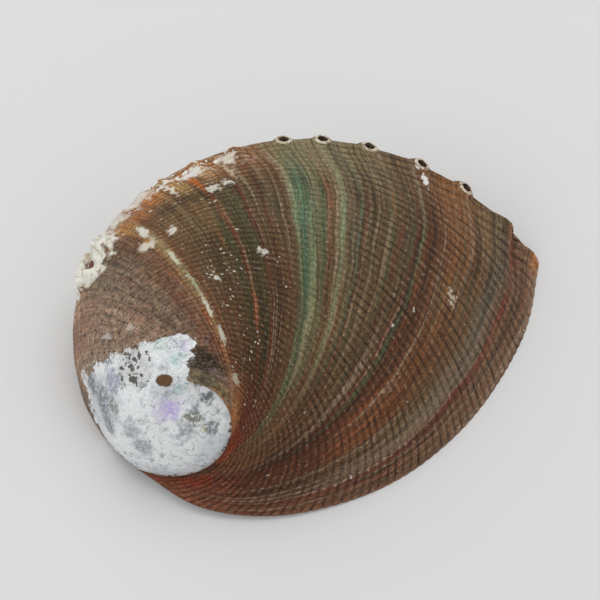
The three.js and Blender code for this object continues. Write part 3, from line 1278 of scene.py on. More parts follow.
@dataclass(frozen=True)
class WeatheredShell:
    """Abalone's outer layer, a matt prism of lime, worn through to pearl at the old end.

    The eye gets dull banded colour with dark grooves between the ribs, white flecks of bare
    lime, and a soft gloss only where pearl shows.
    """

    gain: float = 1.25
    roughness: float = 0.62
    specular: float = 0.2
    waver: float = 0.014
    bow: float = 0.055
    torn_mm: float = 1.6
    grain_mm: float = 0.75
    blotch_mm: float = 1.9
    boring_mm: float = 1.3
    chip_mm: float = 2.4
    lump_mm: float = 5.0
    crust_mm: float = 2.2
    ragged_mm: float = 3.0
    crust_white: str = "#ece9e0"
    crust_tan: str = "#b9a48c"
    crust_green: str = "#d3d1be"
    crust_slot: str = "#63392f"
    # A near black brown: dirt and painted shade in the grooves, and the colour of the dark seams and
    # borings.
    groove: str = "#22160e"
    rust: str = "#8a4520"
    weed: str = "#3d5846"
    fleck: str = "#d9d2c4"
    thread: str = "#93806a"
    mauve: str = "#7d5f5b"
    grey: str = "#8a8177"
    dull: str = "#5b4f42"
    old_tint: Colour = (0.98, 0.90, 0.80, 1.0)
    # Colour by the share from suture to pores: the layer's own rust, and painted shade that darkens it
    # low on the dome.
    rust_and_shading_tints: tuple[tuple[float, Colour], ...] = (
        (0.05, (0.92, 0.68, 0.48, 1.0)),
        (0.22, (0.79, 0.47, 0.33, 1.0)),
        (0.42, (0.90, 0.71, 0.55, 1.0)),
        (0.57, (0.92, 0.78, 0.62, 1.0)),
        (0.72, (1.06, 0.96, 0.81, 1.0)),
        (0.92, (1.12, 0.97, 0.80, 1.0)),
    )
    pearl: PearlPaint = PearlPaint()
    relief: Relief = Relief()

    def make(self) -> bpy.types.Material:
        """Builds the material.

        Returns:
            The finished material.
        """
        ground = self._ground()
        board, mm = ground.board, ground.mm
        streak = board.streaks(ground.lines, (52.0, 3.0), 4.0, 0.65)
        grain = board.add("TexNoise", mm, 1 / self.grain_mm, 4.0, 0.62)
        colour = self._bands(ground)
        colour = self._growth_lines(ground, colour, streak)
        colour = self._ribs(ground, colour)
        colour = board.add(
            "VectorMath",
            colour,
            board.add("MapRange", grain, 0.28, 0.72, 0.45, 1.55),
            operation="SCALE",
        )
        colour = self._mottle(ground, colour)
        colour = self._chips(ground, colour)
        colour = self._flecks(ground, colour)
        colour = self._patches(ground, colour, LIME)
        colour = self._crust(ground, colour)
        bare = self._worn_through(ground)
        shine, pits = self.pearl.paint(board, mm, ground.across)
        height = board.add(
            "Math",
            ground.wave,
            0.12,
            board.add("Math", streak, grain, operation="ADD"),
            operation="MULTIPLY_ADD",
        )
        height = board.add("Math", pits, -1.0, height, operation="MULTIPLY_ADD")
        return board.finish(
            Base_Color=board.add("Mix", bare, colour, shine, data_type="RGBA"),
            Roughness=board.add("MapRange", bare, 0.0, 1.0, self.roughness, self.pearl.roughness),
            Normal=board.add("Bump", 0.7, 0.4 * MM, named={"Height": height}),
            IOR=1.53,
            Specular_IOR_Level=self.specular,
        )

    def lift(self, hex_colour: str, alpha: float = 1.0) -> Colour:
        """A colour as the bare material has it, out of the shade of its own ribs."""
        red, green, blue, _ = linear(hex_colour)
        return (red * self.gain, green * self.gain, blue * self.gain, alpha)

    def _ground(self) -> Ground:
        """Starts the material and works out where its patterns lie.

        Returns:
            The sockets that the patterns share.
        """
        board = Board("abalone_outer_layer")
        growth = board.add("UVMap", uv_map=GROWTH_MAP)
        straight, across, _ = board.add("SeparateXYZ", growth).node.outputs
        mm = board.millimetres()
        # Growth lines waver, and most bow back from the margin halfway across.
        waver = board.streaks(growth, (1.2, 7.0), 4.0)
        waver = board.add("MapRange", waver, 0.2, 0.8, -self.waver, self.waver)
        bow = board.off(across, 0.48)
        bow = board.add("MapRange", bow, 0.42, 0.02, 0.0, -self.bow, interpolation_type="SMOOTHSTEP")
        bowed = board.add("MapRange", board.off(straight, 0.92), 0.42, 0.25, 0.15, 1.0)
        back = board.add(
            "Math",
            bow,
            bowed,
            board.add("Math", straight, waver, operation="ADD"),
            operation="MULTIPLY_ADD",
        )
        lines = board.add("CombineXYZ", back, across)
        torn = board.add("TexNoise", mm, 1 / self.torn_mm, 3.0, out="Color")
        torn = board.add(
            "VectorMath", torn, (0.07, 0.06, 0.0), (-0.035, -0.03, 0.0), operation="MULTIPLY_ADD"
        )
        return Ground(
            board,
            mm,
            growth,
            straight,
            across,
            back,
            lines,
            ruffled=board.add("VectorMath", growth, torn, operation="ADD"),
            fresh=board.add("MapRange", back, 2.2, 1.3, 0.5, 1.0),
            beads=board.streaks(lines, (60.0, 110.0)),
            wave=RIBS.wave(board, straight, across),
        )

    def _ramp(self, ground: Ground, bands: Bands) -> Socket:
        """Lays a run of growth bands out along the growth.

        Args:
            ground: The shared sockets.
            bands: Radians of growth and colours.

        Returns:
            The colour.
        """
        low, high = bands[0][0], bands[-1][0]
        share = ground.board.add("MapRange", ground.back, low, high, 0.0, 1.0)
        run = [((at - low) / (high - low), self.lift(hue.value)) for at, hue in bands]
        return spread(ground.board.add("ValToRGB", share), run)

    def _bands(self, ground: Ground) -> Socket:
        """Paints the growth bands and the slow changes of colour over them.

        Args:
            ground: The shared sockets.

        Returns:
            The colour.
        """
        board, growth, across = ground.board, ground.growth, ground.across
        is_old = board.add("Math", ground.back, BANDS_OLD[0][0], operation="GREATER_THAN")
        colour = board.add(
            "Mix",
            is_old,
            self._ramp(ground, BANDS_YOUNG),
            self._ramp(ground, BANDS_OLD),
            data_type="RGBA",
        )
        # Broad drifts of rust and weed green along the growth lines.
        hue = board.streaks(growth, (26.0, 3.5), 4.0, 0.6)
        colour = board.add(
            "Mix",
            board.add("MapRange", hue, 0.55, 0.70, 0.0, 0.28),
            colour,
            self.lift(self.rust),
            data_type="RGBA",
        )
        colour = board.add(
            "Mix",
            board.add("MapRange", hue, 0.45, 0.30, 0.0, 0.35),
            colour,
            self.lift(self.weed),
            data_type="RGBA",
        )
        colour = self._threads(ground, colour)
        # Toward the suture the bands crowd together and rust streaks run with the ribs.
        run = board.add(
            "MapRange", board.streaks(growth, (3.0, 95.0), 4.0, 0.6), 0.3, 0.7, 0.45, 1.7
        )
        suture = board.add("VectorMath", self._ramp(ground, BANDS_SUTURE), run, operation="SCALE")
        colour = board.add(
            "Mix",
            board.add("MapRange", across, 0.07, 0.22, 0.95, 0.0),
            colour,
            suture,
            data_type="RGBA",
        )
        top = board.add("MapRange", across, 0.82, 0.96, 0.0, 0.85)
        colour = board.add("Mix", top, colour, self._ramp(ground, BANDS_PORES), data_type="RGBA")
        colour = self._patches(ground, colour, TINTS)
        # The layer is darker and rustier low on the dome than near the pores: partly its own colour,
        # partly painted shade low on the dome.
        depth = spread(board.add("ValToRGB", across), self.rust_and_shading_tints)
        aged = board.add("MapRange", ground.straight, 2.0, 2.6, 0.0, 0.85)
        colour = board.add(
            "VectorMath",
            colour,
            board.add("Mix", aged, depth, self.old_tint, data_type="RGBA"),
            operation="MULTIPLY",
        )
        # The old wall, out of the light, is a dull grey brown.
        hidden = board.add("MapRange", across, 1.0, 1.06, 0.0, 0.7)
        older = board.add("MapRange", ground.straight, 1.10, 1.50, 0.0, 1.0)
        return board.add(
            "Mix", board.product(hidden, older), colour, self.lift(self.dull), data_type="RGBA"
        )

    def _threads(self, ground: Ground, colour: Socket) -> Socket:
        """Draws the thin coloured lines of growth, broken here and there, a ramp for every ten.

        Args:
            ground: The shared sockets.
            colour: What lies under the lines.

        Returns:
            The colour with the lines.
        """
        board, span, each = ground.board, 2.0, 10
        gaps = board.streaks(ground.growth, (6.0, 14.0), 3.0)
        broken = board.add("MapRange", gaps, 0.34, 0.54, 0.15, 1.0)
        share = board.add("Math", ground.back, 1 / span, operation="MULTIPLY")
        for start in range(0, len(THREADS), each):
            run = [
                ((thread.back + side * thread.half) / span, self.lift(thread.colour, alpha))
                for thread in THREADS[start : start + each]
                for side, alpha in ((-1, 0.0), (0, thread.strength), (1, 0.0))
            ]
            drawn = spread(board.add("ValToRGB", share), run)
            cover = board.product(drawn.node.outputs["Alpha"], broken)
            colour = board.add("Mix", cover, colour, drawn, data_type="RGBA")
        return colour

    def _patches(self, ground: Ground, colour: Socket, laid: tuple[Patch, ...]) -> Socket:
        """Lays ragged patches over a colour.

        Args:
            ground: The shared sockets.
            colour: What lies under the patches.
            laid: The patches, lowest first.

        Returns:
            The colour with the patches.
        """
        board = ground.board
        for patch in laid:
            reach = board.reach(ground.ruffled, (patch.back, patch.across), patch.half)
            cover = board.add("MapRange", reach, 1.1, 0.6, 0.0, patch.strength)
            colour = board.add("Mix", cover, colour, linear(patch.colour), data_type="RGBA")
        return colour

    def _growth_lines(self, ground: Ground, colour: Socket, streak: Socket) -> Socket:
        """Draws the fine lines of growth: a shade apart, with dark seams and pale threads.

        Args:
            ground: The shared sockets.
            colour: What lies under the lines.
            streak: The noise that shades them.

        Returns:
            The colour with the lines.
        """
        board, lines = ground.board, ground.lines
        shade = board.add("MapRange", streak, 0.3, 0.7, -0.42, 0.45)
        colour = board.add(
            "VectorMath",
            colour,
            board.add("Math", shade, ground.fresh, 1.0, operation="MULTIPLY_ADD"),
            operation="SCALE",
        )
        seam = board.off(board.streaks(lines, (30.0, 1.2)), 0.5)
        seam = board.add("MapRange", seam, 0.0, 0.04, 0.55, 0.0)
        colour = board.add("Mix", seam, colour, linear(self.groove), data_type="RGBA")
        thread = board.add(
            "VectorMath", lines, (36.0, 1.6, 0.0), (9.0, 4.0, 0.0), operation="MULTIPLY_ADD"
        )
        thread = board.add("MapRange", board.add("TexNoise", thread, 1.0), 0.57, 0.67, 0.0, 0.75)
        strung = board.add("MapRange", ground.beads, 0.38, 0.60, 0.15, 1.0)
        faint = board.add("MapRange", ground.across, 0.12, 0.45, 0.45, 1.0)
        thread = board.product(thread, strung, faint, ground.fresh)
        return board.add("Mix", thread, colour, self.lift(self.thread), data_type="RGBA")

    def _ribs(self, ground: Ground, colour: Socket) -> Socket:
        """Darkens the grooves between the ribs with dirt and painted shade, and dots the ribs with pale
        beads.

        Args:
            ground: The shared sockets.
            colour: What lies under the ribs.

        Returns:
            The colour with the ribs.
        """
        board, wave = ground.board, ground.wave
        # Some grooves hold more dirt and painted shade than others, and the sea-green bands hold the
        # least.
        uneven = board.streaks(ground.growth, (9.0, 30.0), 4.0, 0.6)
        uneven = board.add("MapRange", uneven, 0.36, 0.64, 0.12, 0.85)
        grime_and_shade = board.add("MapRange", board.off(ground.back, 1.02), 0.10, 0.26, 0.45, 1.0)
        groove = board.add("MapRange", wave, -0.2, -1.0, 0.0, 1.0)
        groove = board.product(groove, uneven, ground.fresh, grime_and_shade)
        colour = board.add("Mix", groove, colour, linear(self.groove), data_type="RGBA")
        # Where the grooves are shallow, finer ones run between them and the ribs, darkened with the
        # same dirt and painted shade.
        finer = board.add("MapRange", board.product(wave, wave), 0.20, 0.0, 0.0, 0.55)
        shallow = board.add("MapRange", uneven, 0.12, 0.55, 1.0, 0.0)
        colour = board.add(
            "Mix", board.product(finer, shallow), colour, linear(self.groove), data_type="RGBA"
        )
        crest = board.add("MapRange", wave, -0.1, 0.8, 0.0, 0.42)
        dash = board.add("MapRange", ground.beads, 0.54, 0.68, 0.0, 1.0)
        return board.add(
            "Mix", board.product(dash, crest), colour, self.lift(self.thread), data_type="RGBA"
        )

    def _mottle(self, ground: Ground, colour: Socket) -> Socket:
        """Blotches the oldest stretch of the outer layer with mauve, grey and dark borings.

        Args:
            ground: The shared sockets.
            colour: What lies under the blotches.

        Returns:
            The colour with the blotches.
        """
        board, mm = ground.board, ground.mm
        aged = board.add("MapRange", ground.straight, 1.75, 2.15, 0.0, 1.0)
        blotch = board.add("TexNoise", mm, 1 / self.blotch_mm, 5.0, 0.65)
        shade = board.add("MapRange", blotch, 0.34, 0.66, -0.5, 0.5)
        colour = board.add(
            "VectorMath",
            colour,
            board.add("Math", shade, aged, 1.0, operation="MULTIPLY_ADD"),
            operation="SCALE",
        )
        tint = board.add("SeparateColor", blotch.node.outputs["Color"]).node
        for share, hex_colour in ((tint.outputs[1], self.mauve), (tint.outputs[2], self.grey)):
            cover = board.product(board.add("MapRange", share, 0.54, 0.64, 0.0, 0.4), aged)
            colour = board.add("Mix", cover, colour, linear(hex_colour), data_type="RGBA")
        boring = board.add(
            "MapRange", board.add("TexNoise", mm, 1 / self.boring_mm), 0.64, 0.70, 0.0, 0.75
        )
        return board.add(
            "Mix", board.product(boring, aged), colour, linear(self.groove), data_type="RGBA"
        )

    def _chips(self, ground: Ground, colour: Socket) -> Socket:
        """Chips the crest between the sealed pores to white lime.

        Args:
            ground: The shared sockets.
            colour: What lies under the chips.

        Returns:
            The colour with the chips.
        """
        board = ground.board
        high = board.add("MapRange", board.off(ground.across, 0.995), 0.085, 0.02, 0.0, 1.0)
        along = board.add("MapRange", board.off(ground.straight, 1.63), 0.48, 0.30, 0.0, 0.95)
        chip = board.add("TexNoise", ground.mm, 1 / self.chip_mm, 5.0, 0.65)
        chip = board.add("MapRange", chip, 0.53, 0.58, 0.0, 1.0)
        return board.add(
            "Mix",
            board.product(chip, high, along),
            colour,
            linear(self.crust_white),
            data_type="RGBA",
        )

    def _flecks(self, ground: Ground, colour: Socket) -> Socket:
        """Scatters white flecks of bare lime along the ribs, most between the older lines.

        Args:
            ground: The shared sockets.
            colour: What lies under the flecks.

        Returns:
            The colour with the flecks.
        """
        board = ground.board
        cells = board.add("VectorMath", ground.growth, (42.0, 130.0, 0.0), operation="MULTIPLY")
        jolt = board.add("TexNoise", cells, 0.9, out="Color")
        cells = board.add("VectorMath", jolt, (1.6,) * 3, cells, operation="MULTIPLY_ADD")
        spots = board.add("TexVoronoi", cells, 1.0, voronoi_dimensions="2D")
        pick = board.add("SeparateColor", spots.node.outputs["Color"]).node
        few = board.add("MapRange", board.off(ground.straight, 1.65), 0.10, 0.42, 0.86, 1.06)
        clump = board.add(
            "MapRange", board.streaks(ground.growth, (9.0, 9.0)), 0.46, 0.62, 0.14, -0.08
        )
        few = board.add("Math", few, clump, operation="ADD")
        chosen = board.add("Math", pick.outputs[0], few, operation="GREATER_THAN")
        size = board.add("MapRange", pick.outputs[1], 0.0, 1.0, 0.06, 0.52)
        dot = board.add(
            "MapRange", board.add("Math", size, spots, operation="SUBTRACT"), 0.0, 0.14, 0.0, 0.8
        )
        return board.add(
            "Mix", board.product(chosen, dot), colour, linear(self.fleck), data_type="RGBA"
        )

    def _crust(self, ground: Ground, colour: Socket) -> Socket:
        """Paints the ring of white crust round the oldest sealed pore.

        Args:
            ground: The shared sockets.
            colour: What lies under the crust.

        Returns:
            The colour with the crust.
        """
        board, relief = ground.board, self.relief
        lump = board.add("TexNoise", ground.mm, 1 / self.lump_mm, 3.0, out="Color")
        lump = board.add(
            "VectorMath", lump, (0.16, 0.08, 0.0), (-0.08, -0.04, 0.0), operation="MULTIPLY_ADD"
        )
        lumpy = board.add("VectorMath", ground.ruffled, lump, operation="ADD")
        reach = board.reach(lumpy, relief.crust_centre, relief.crust_spread)
        slot = board.add("MapRange", reach, 0.42, 0.28, 0.0, 0.85)
        colour = board.add("Mix", slot, colour, linear(self.crust_slot), data_type="RGBA")
        cover = board.add("MapRange", board.off(reach, relief.crust_ring), 0.42, 0.30, 0.0, 1.0)
        chalks = (0.32, self.crust_tan), (0.42, self.crust_green), (0.54, self.crust_white)
        chalk = spread(
            board.add("ValToRGB", board.add("TexNoise", ground.mm, 1 / self.crust_mm, 3.0)),
            stops(*chalks),
        )
        return board.add("Mix", cover, colour, chalk, data_type="RGBA")

    def _worn_through(self, ground: Ground) -> Socket:
        """Finds where the outer layer is gone.

        Args:
            ground: The shared sockets.

        Returns:
            1 where pearl shows, else 0.
        """
        board, span, turns = ground.board, PEARL_EDGE[-1][0], 4.0
        share = board.add("Math", ground.across, 1 / span, operation="MULTIPLY")
        edge = bend(
            board.add("FloatCurve", 1.0, share),
            [(across / span, back / turns) for across, back in PEARL_EDGE],
        )
        edge = board.add("Math", edge, turns, operation="MULTIPLY")
        ragged = board.add("TexNoise", ground.mm, 1 / self.ragged_mm, 5.0, 0.65)
        ragged = board.add("MapRange", ragged, 0.25, 0.75, -0.14, 0.14)
        beyond = board.add(
            "Math",
            board.add("Math", ground.straight, edge, operation="SUBTRACT"),
            ragged,
            operation="ADD",
        )
        return board.add("MapRange", beyond, -0.01, 0.02, 0.0, 1.0)


@dataclass(frozen=True)
class InnerPearl:
    """Mother-of-pearl: polished by the living animal, silvery with slow bands of green and rose."""

    band_mm: float = 22.0
    ripple_mm: float = 3.0
    roughness: float = 0.22
    sheens: tuple[tuple[float, str], ...] = (
        (0.28, "#b4cfc6"),
        (0.40, "#cfd9d4"),
        (0.48, "#dbd4da"),
        (0.54, "#dedfdc"),
        (0.62, "#bccdd8"),
        (0.74, "#d3c4d4"),
    )

    def make(self) -> bpy.types.Material:
        """Builds the material.

        Returns:
            The finished material.
        """
        board = Board("mother_of_pearl")
        mm = board.millimetres()
        flow = board.add("TexNoise", mm, 1 / self.band_mm, 3.0, named={"Distortion": 0.7})
        colour = spread(board.add("ValToRGB", flow), stops(*self.sheens))
        ripple = board.add("TexNoise", mm, 1 / self.ripple_mm)
        return board.finish(
            Base_Color=board.add(
                "VectorMath",
                colour,
                board.add("MapRange", ripple, 0.3, 0.7, 0.90, 1.06),
                operation="SCALE",
            ),
            Roughness=self.roughness,
            Normal=board.add("Bump", 0.4, 0.25 * MM, named={"Height": ripple}),
            IOR=1.6,
            Coat_Weight=0.3,
            Coat_Roughness=0.12,
        )


@dataclass(frozen=True)
class PoreRim:
    """Bare lime at the pores: chalky and pale on the rims, with painted shade darkening the inside of
    the holes.
    """

    grain_mm: float = 1.1
    roughness: float = 0.7
    pale: str = "#d3c8b4"
    tan: str = "#8c7358"
    # The near black of the painted shade inside the holes.
    dark: str = "#2c241d"

    def make(self) -> bpy.types.Material:
        """Builds the material.

        Returns:
            The finished material.
        """
        board = Board("pore_rim_lime")
        grain = board.add("TexNoise", board.millimetres(), 1 / self.grain_mm, 3.0)
        rim = spread(board.add("ValToRGB", grain), stops((0.36, self.tan), (0.58, self.pale)))
        # The hole walls run from tan to near black: painted shade inside the holes.
        hole = spread(board.add("ValToRGB", grain), stops((0.3, self.dark), (0.8, self.tan)))
        # Only the rims lie on the growth map.
        growth = board.add("UVMap", uv_map=GROWTH_MAP)
        across = board.add("SeparateXYZ", growth, out="Y")
        on_rim = board.add("Math", across, 0.5, operation="GREATER_THAN")
        return board.finish(
            Base_Color=board.add("Mix", on_rim, hole, rim, data_type="RGBA"),
            Roughness=self.roughness,
            Normal=board.add("Bump", 0.5, 0.3 * MM, named={"Height": grain}),
            IOR=1.53,
        )


@dataclass
class AbaloneShell:
    """The whole shell: one body of lime with a ribbed outside, a pearly hollow and six pores.

    Attributes:
        form: The spiral that the shell grew along.
        relief: The sculpture of its outside.
        columns: Grid columns to a whorl.
        dome_rows: Grid rows from the suture to the pores.
        wall_rows: Grid rows from the pores to the foot.
        dome_cuts: Cuts of each dome row, to carry the ribs.
        wall_cuts: Cuts of each wall row.
        growth_cuts: Cuts of each column.
        weld: Points closer than this are one, in millimetres.
        pearl_passes: How often the inside is smoothed.
        smoothed: The oldest growth and the lowest row that are smoothed.
        spire_blend: The growth over which the inside follows the worn spire.
        spire_fade: The rows over which the spire's wear fades out.
        pole_blend: Distances from the spire's middle where the inside keeps to the outside.
        pore_radius: Radius of a full-grown pore, in millimetres.
        pore_taper: Shares of that radius at the bottom and the top of the hole.
        pore_reach: Length of the rod that opens a pore, in millimetres.
        pore_sides: Sides of a pore.
        collar: Half outline of a pore's rim: radius and height over the crest, in millimetres.
        collar_bare_from: The height from which the rim is bare lime.
        collar_across: Where the rims lie on the growth map, as a share from suture to pores.
        collar_map: What a millimetre of the rim is on the growth map.
        sharp_from: Edges bent more than this stay sharp.
        outside: The finish of the outside.
        inside: The finish of the inside.
        rim: The finish of the pores.
    """

    form: SpiralForm = field(default_factory=SpiralForm)
    relief: Relief = field(default_factory=Relief)
    columns: int = 65
    dome_rows: int = 30
    wall_rows: int = 10
    dome_cuts: int = 9
    wall_cuts: int = 3
    growth_cuts: int = 2
    weld: float = 2e-3
    pearl_passes: int = 10
    smoothed: Pair = (2.5, 4.0)
    spire_blend: Pair = (3.9, 4.7)
    spire_fade: Pair = (17.0, 19.0)
    pole_blend: Pair = (4.0, 13.0)
    pore_radius: float = 1.6
    pore_taper: Pair = (0.95, 1.1)
    pore_reach: float = 14.0
    pore_sides: int = 28
    collar: tuple[Pair, ...] = (
        (0.0, -1.8),
        (4.4, -1.4),
        (3.4, -0.3),
        (2.7, 0.4125),
        (2.3, 0.69),
        (2.05, 0.75),
        (1.7, 0.7125),
        (0.0, 0.375),
    )
    collar_bare_from: float = 0.525
    collar_across: float = 0.96
    collar_map: Pair = (0.012, 0.008)
    sharp_from: float = math.radians(50)
    outside: WeatheredShell = field(default_factory=WeatheredShell)
    inside: InnerPearl = field(default_factory=InnerPearl)
    rim: PoreRim = field(default_factory=PoreRim)

    def build(self) -> bpy.types.Object:
        """Models the shell and dresses it.

        Returns:
            The finished piece, in metres, at the origin.
        """
        self.finishes = [finish.make() for finish in (self.outside, self.inside, self.rim)]
        mesh = bmesh.new()
        self._open_layers(mesh)
        self._lay_sheet(mesh)
        self._line_with_pearl(mesh)
        self._refine(mesh)
        self._sculpt(mesh)
        bmesh.ops.translate(mesh, verts=mesh.verts, vec=-Vector(self.form.centre))
        shell = self._object("abalone_shell", mesh)
        self._pierce(shell)
        self._finish_mesh(shell)
        return shell

    def _open_layers(self, mesh: bmesh.types.BMesh) -> None:
        """Adds the layers that hold growth coordinates and tell the faces apart.

        Args:
            mesh: The mesh to be filled.
        """
        self.back = mesh.verts.layers.float.new("back")
        self.row = mesh.verts.layers.float.new("row")
        self.old = mesh.faces.layers.int.new("old")
        self.lip = mesh.faces.layers.int.new("lip")
        self.growth = mesh.loops.layers.uv.new(GROWTH_MAP)

    def _row_of(self, step: float) -> float:
        """Finds the row number of a grid line.

        Args:
            step: The grid line, counted from the suture.

        Returns:
            The row number, from 0 to SpiralForm.ROWS.
        """
        form = self.form
        if step <= self.dome_rows:
            return form.DOME_ROWS * step / self.dome_rows
        wall = (step - self.dome_rows) / self.wall_rows
        return form.DOME_ROWS + (form.ROWS - form.DOME_ROWS) * wall

    def _lay_sheet(self, mesh: bmesh.types.BMesh) -> None:
        """Lays a grid over the smooth outside, body whorl and worn spire, and welds it.

        Args:
            mesh: The mesh to fill.
        """
        form, back, row = self.form, self.back, self.row
        rows = self.dome_rows + self.wall_rows
        bmesh.ops.create_grid(mesh, x_segments=2 * self.columns, y_segments=rows, size=1.0)
        for vert in mesh.verts:
            vert[back] = (vert.co.x + 1) * form.whorl
            vert[row] = self._row_of(round((vert.co.y + 1) / 2 * rows))
        for face in mesh.faces:
            face[self.old] = int(face.calc_center_median().x > 0)
            for loop in face.loops:
                loop[self.growth].uv = (loop.vert[back], loop.vert[row] / form.DOME_ROWS)
        last = 2 * form.whorl - SAME
        for vert in mesh.verts:
            vert.co = form.pole if vert[back] > last else form.outside(vert[back], vert[row])
        bmesh.ops.remove_doubles(mesh, verts=mesh.verts, dist=self.weld)
        for vert in mesh.verts:
            if (vert.co - form.pole).length < 2 * self.weld:
                vert[back], vert[row] = form.whorl, 0.0
            elif vert[back] > form.whorl - SAME and vert[row] > form.ROWS - SAME:
                vert[back], vert[row] = max(vert[back] - form.whorl, 0.0), 0.0
            elif vert[back] < SAME and vert[row] > form.DOME_ROWS:
                vert[row] = form.DOME_ROWS
        bmesh.ops.recalc_face_normals(mesh, faces=mesh.faces)
        crown = max(mesh.faces, key=lambda face: face.calc_center_median().z)
        if crown.normal.z < 0:
            bmesh.ops.reverse_faces(mesh, faces=mesh.faces)
        mesh.normal_update()

    def _line_with_pearl(self, mesh: bmesh.types.BMesh) -> None:
        """Doubles the sheet inwards by the shell's thickness and closes the rim.

        Args:
            mesh: The mesh with the outer sheet.
        """
        form, back, row = self.form, self.back, self.row
        outer = list(mesh.verts)
        made = bmesh.ops.duplicate(mesh, geom=mesh.verts[:] + mesh.edges[:] + mesh.faces[:])
        twin = made["vert_map"]
        faces = [item for item in made["geom"] if isinstance(item, bmesh.types.BMFace)]
        bmesh.ops.reverse_faces(mesh, faces=faces)
        for face in faces:
            face.material_index = Part.INSIDE
        suture: dict[int, Vector] = {}
        for vert in outer:
            place = form.inside(vert[back], vert[row], vert.co, vert.normal)
            twin[vert].co = place
            if vert[row] < SAME:
                suture[round(vert[back] * 1000)] = place
        pole_in = suture[round(form.whorl * 1000)]
        for vert in outer:
            if vert[back] <= form.whorl:
                continue
            share, under = vert[row] / form.ROWS, vert[back] - form.whorl
            foot_in = suture[round(under * 1000)]
            chord = form.pole.lerp(form.foot(vert[back]), share)
            place = pole_in.lerp(foot_in, share) + form.spire_hollow * (vert.co - chord)
            twin[vert].co = twin[vert].co.lerp(place, ease(vert[back], *self.spire_blend))
        oldest, lowest = self.smoothed
        young = [twin[vert] for vert in outer if vert[back] < oldest and vert[row] > lowest]
        soft = [vert for vert in young if not vert.is_boundary]
        for _ in range(self.pearl_passes):
            bmesh.ops.smooth_vert(
                mesh, verts=soft, factor=0.5, use_axis_x=True, use_axis_y=True, use_axis_z=True
            )
        for vert in outer:
            near = 1 - ease((vert.co - form.pole).length, *self.pole_blend)
            twin[vert].co = twin[vert].co.lerp(vert.co + pole_in - form.pole, near)
            twin[vert].co += form.crest_shift(vert[back], vert[row], highest=0.0)
        rim = [edge for edge in mesh.edges if edge.is_boundary]
        for face in bmesh.ops.bridge_loops(mesh, edges=rim)["faces"]:
            face.material_index = Part.INSIDE
            face[self.lip] = 1
            face[self.old] = 0

    def _body_edges(self, mesh: bmesh.types.BMesh, along: bool, rows: Pair) -> list[bmesh.types.BMEdge]:
        """Picks the edges of the body whorl's outside and rim that run one way.

        Args:
            mesh: The shell.
            along: True for edges along the growth, False for edges along a growth line.
            rows: The lowest and highest row number to take.

        Returns:
            The edges.
        """
        found = set()
        for face in mesh.faces:
            if face[self.old] or not (face.material_index == Part.OUTSIDE or face[self.lip]):
                continue
            for edge in face.edges:
                a, b = edge.verts
                steps = abs(a[self.back] - b[self.back]), abs(a[self.row] - b[self.row])
                low, high = sorted((a[self.row], b[self.row]))
                runs = steps[1] < SAME < steps[0] if along else steps[0] < SAME < steps[1]
                if runs and low >= rows[0] - SAME and high <= rows[1] + SAME:
                    found.add(edge)
        return list(found)

    def _refine(self, mesh: bmesh.types.BMesh) -> None:
        """Cuts the body whorl's outside finely enough to carry the ribs.

        Args:
            mesh: The shell.
        """
        top, foot = self.form.DOME_ROWS, self.form.ROWS
        for along, rows, cuts in (
            (False, (0.0, top), self.dome_cuts),
            (False, (top, foot), self.wall_cuts),
            (True, (0.0, foot), self.growth_cuts),
        ):
            edges = self._body_edges(mesh, along, rows)
            bmesh.ops.subdivide_edges(mesh, edges=edges, cuts=cuts, use_grid_fill=True)

    def _sculpt(self, mesh: bmesh.types.BMesh) -> None:
        """Moves the outside onto the form and raises its ribs, ridges and wear.

        Args:
            mesh: The shell.
        """
        form, relief, back, row = self.form, self.relief, self.back, self.row
        body, spire = set(), set()
        for face in mesh.faces:
            if face.material_index == Part.OUTSIDE:
                (spire if face[self.old] else body).update(face.verts)
        spire -= body
        for vert in body:
            at = vert[back] + relief.retreat(vert[back], vert[row])
            vert.co = form.outside(at, vert[row]) + form.crest_shift(at, vert[row])
        mesh.normal_update()
        moved = {vert: relief.height(vert[back], vert[row], vert.co) for vert in body}
        for vert in spire:
            moved[vert] = relief.weathering(vert.co) * (1 - ease(vert[row], *self.spire_fade))
        for vert, height in moved.items():
            vert.co += vert.normal * height
        for vert in mesh.verts:
            vert.co.z = max(vert.co.z, 0.0)

    def _frame_of(self, pore: Pore) -> Matrix:
        """Finds where a pore stands.

        Args:
            pore: The pore.

        Returns:
            A matrix with the pore's middle as its origin and its axis as Z, in millimetres.
        """
        form = self.form
        row = form.DOME_ROWS + pore.down * (form.ROWS - form.DOME_ROWS)
        middle = form.outside(pore.back, row) + form.crest_shift(pore.back, row)
        middle -= Vector(form.centre)
        out = form.crest_out(pore.back, pore.down + 0.10, 0.94 + 0.4 * pore.down)
        return Matrix.Translation(middle) @ out.to_track_quat("Z", "Y").to_matrix().to_4x4()

